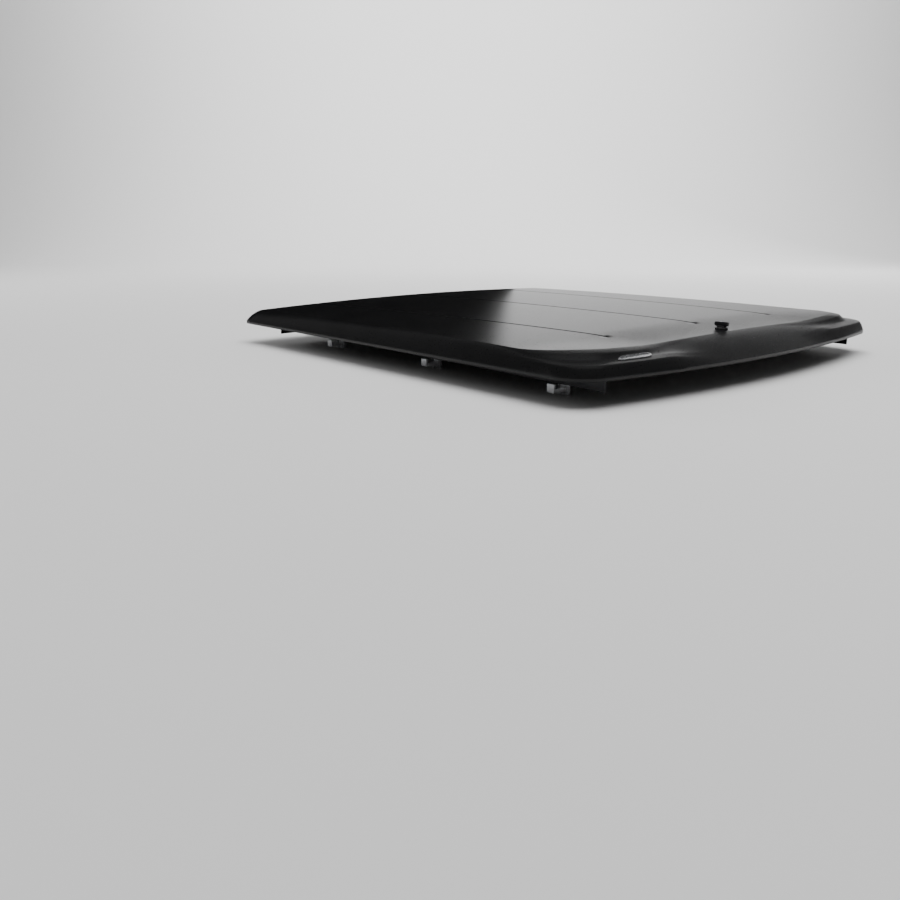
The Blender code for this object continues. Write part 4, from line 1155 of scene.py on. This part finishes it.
def make_floor():
    """Pale floor, a quarter-round cove and a wall, turned to face the camera."""
    shape = bmesh.new()
    profile = [(FLOOR_START, 0.0), (FLOOR_END, 0.0)]
    for step in range(1, 13):
        angle = math.radians(90 * step / 12)
        profile.append((FLOOR_END + COVE_RADIUS * math.sin(angle),
                        COVE_RADIUS * (1 - math.cos(angle))))
    profile.append((FLOOR_END + COVE_RADIUS, WALL_TOP))
    turn = Matrix.Rotation(math.radians(STAGE_HEADING), 3, "Z")
    lines = []
    for along, up in profile:
        lines.append([shape.verts.new(turn @ Vector((side * STAGE_HALF_WIDTH, along, up)))
                      for side in (-1, 1)])
    for near, far in zip(lines, lines[1:]):
        shape.faces.new((near[0], near[1], far[1], far[0]))
    bmesh.ops.recalc_face_normals(shape, faces=shape.faces)
    mesh = bpy.data.meshes.new("studio_floor")
    shape.to_mesh(mesh)
    shape.free()
    mesh.shade_smooth()
    floor = bpy.data.objects.new("studio_floor", mesh)
    bpy.context.scene.collection.objects.link(floor)
    pale, _, shader, _ = material("studio_pale", (0.72, 0.72, 0.72), 0.9)
    shader.inputs["Specular IOR Level"].default_value = 0.1
    mesh.materials.append(pale)


def area_light(name, spot, target, size, power, mirrored):
    """A soft rectangular light; mirrored says whether glossy surfaces reflect it."""
    light = bpy.data.lights.new(name, "AREA")
    light.shape = "RECTANGLE"
    light.size, light.size_y = size
    light.energy = power
    lamp = bpy.data.objects.new(name, light)
    bpy.context.scene.collection.objects.link(lamp)
    lamp.visible_glossy = mirrored
    lamp.location = spot
    aim = Vector(target) - Vector(spot)
    lamp.rotation_euler = aim.to_track_quat("-Z", "Y").to_euler()


def make_world():
    world = bpy.data.worlds.new("studio_air")
    bpy.context.scene.world = world
    world.use_nodes = True
    sky = world.node_tree.nodes["Background"]
    sky.inputs["Color"].default_value = (0.80, 0.80, 0.80, 1.0)
    sky.inputs["Strength"].default_value = 0.20


def make_card():
    """A black card where the cab would stand: it darkens what the front of the deck mirrors."""
    mesh = bpy.data.meshes.new("black_card")
    low, high = CARD_Z
    wide, narrow = CARD_HALF
    corners = [(-wide, CARD_Y, low), (wide, CARD_Y, low), (narrow, CARD_Y, high),
               (-narrow, CARD_Y, high)]
    mesh.from_pydata(corners, [], [(0, 1, 2, 3)])
    card = bpy.data.objects.new("black_card", mesh)
    bpy.context.scene.collection.objects.link(card)
    black, _, shader, _ = material("card_black", (0.004, 0.004, 0.004), 1.0)
    shader.inputs["Specular IOR Level"].default_value = 0.0
    mesh.materials.append(black)
    card.visible_camera = False
    card.visible_diffuse = False
    card.visible_shadow = False


def make_camera():
    data = bpy.data.cameras.new("photo_view")
    data.sensor_width = 36.0
    data.lens = CAMERA_LENS
    data.clip_end = 60.0
    camera = bpy.data.objects.new("photo_view", data)
    bpy.context.scene.collection.objects.link(camera)
    yaw = math.radians(CAMERA_YAW)
    pitch = math.radians(CAMERA_PITCH)
    roll = math.radians(CAMERA_ROLL)
    ahead = Vector((math.sin(yaw) * math.cos(pitch), math.cos(yaw) * math.cos(pitch),
                    -math.sin(pitch)))
    facing = ahead.to_track_quat("-Z", "Y").to_matrix().to_4x4()
    camera.matrix_world = (Matrix.Translation(CAMERA_PLACE) @ facing
                           @ Matrix.Rotation(roll, 4, "Z"))
    bpy.context.scene.camera = camera


make_floor()
make_world()
make_card()
for light in LIGHTS:
    area_light(*light)
make_camera()
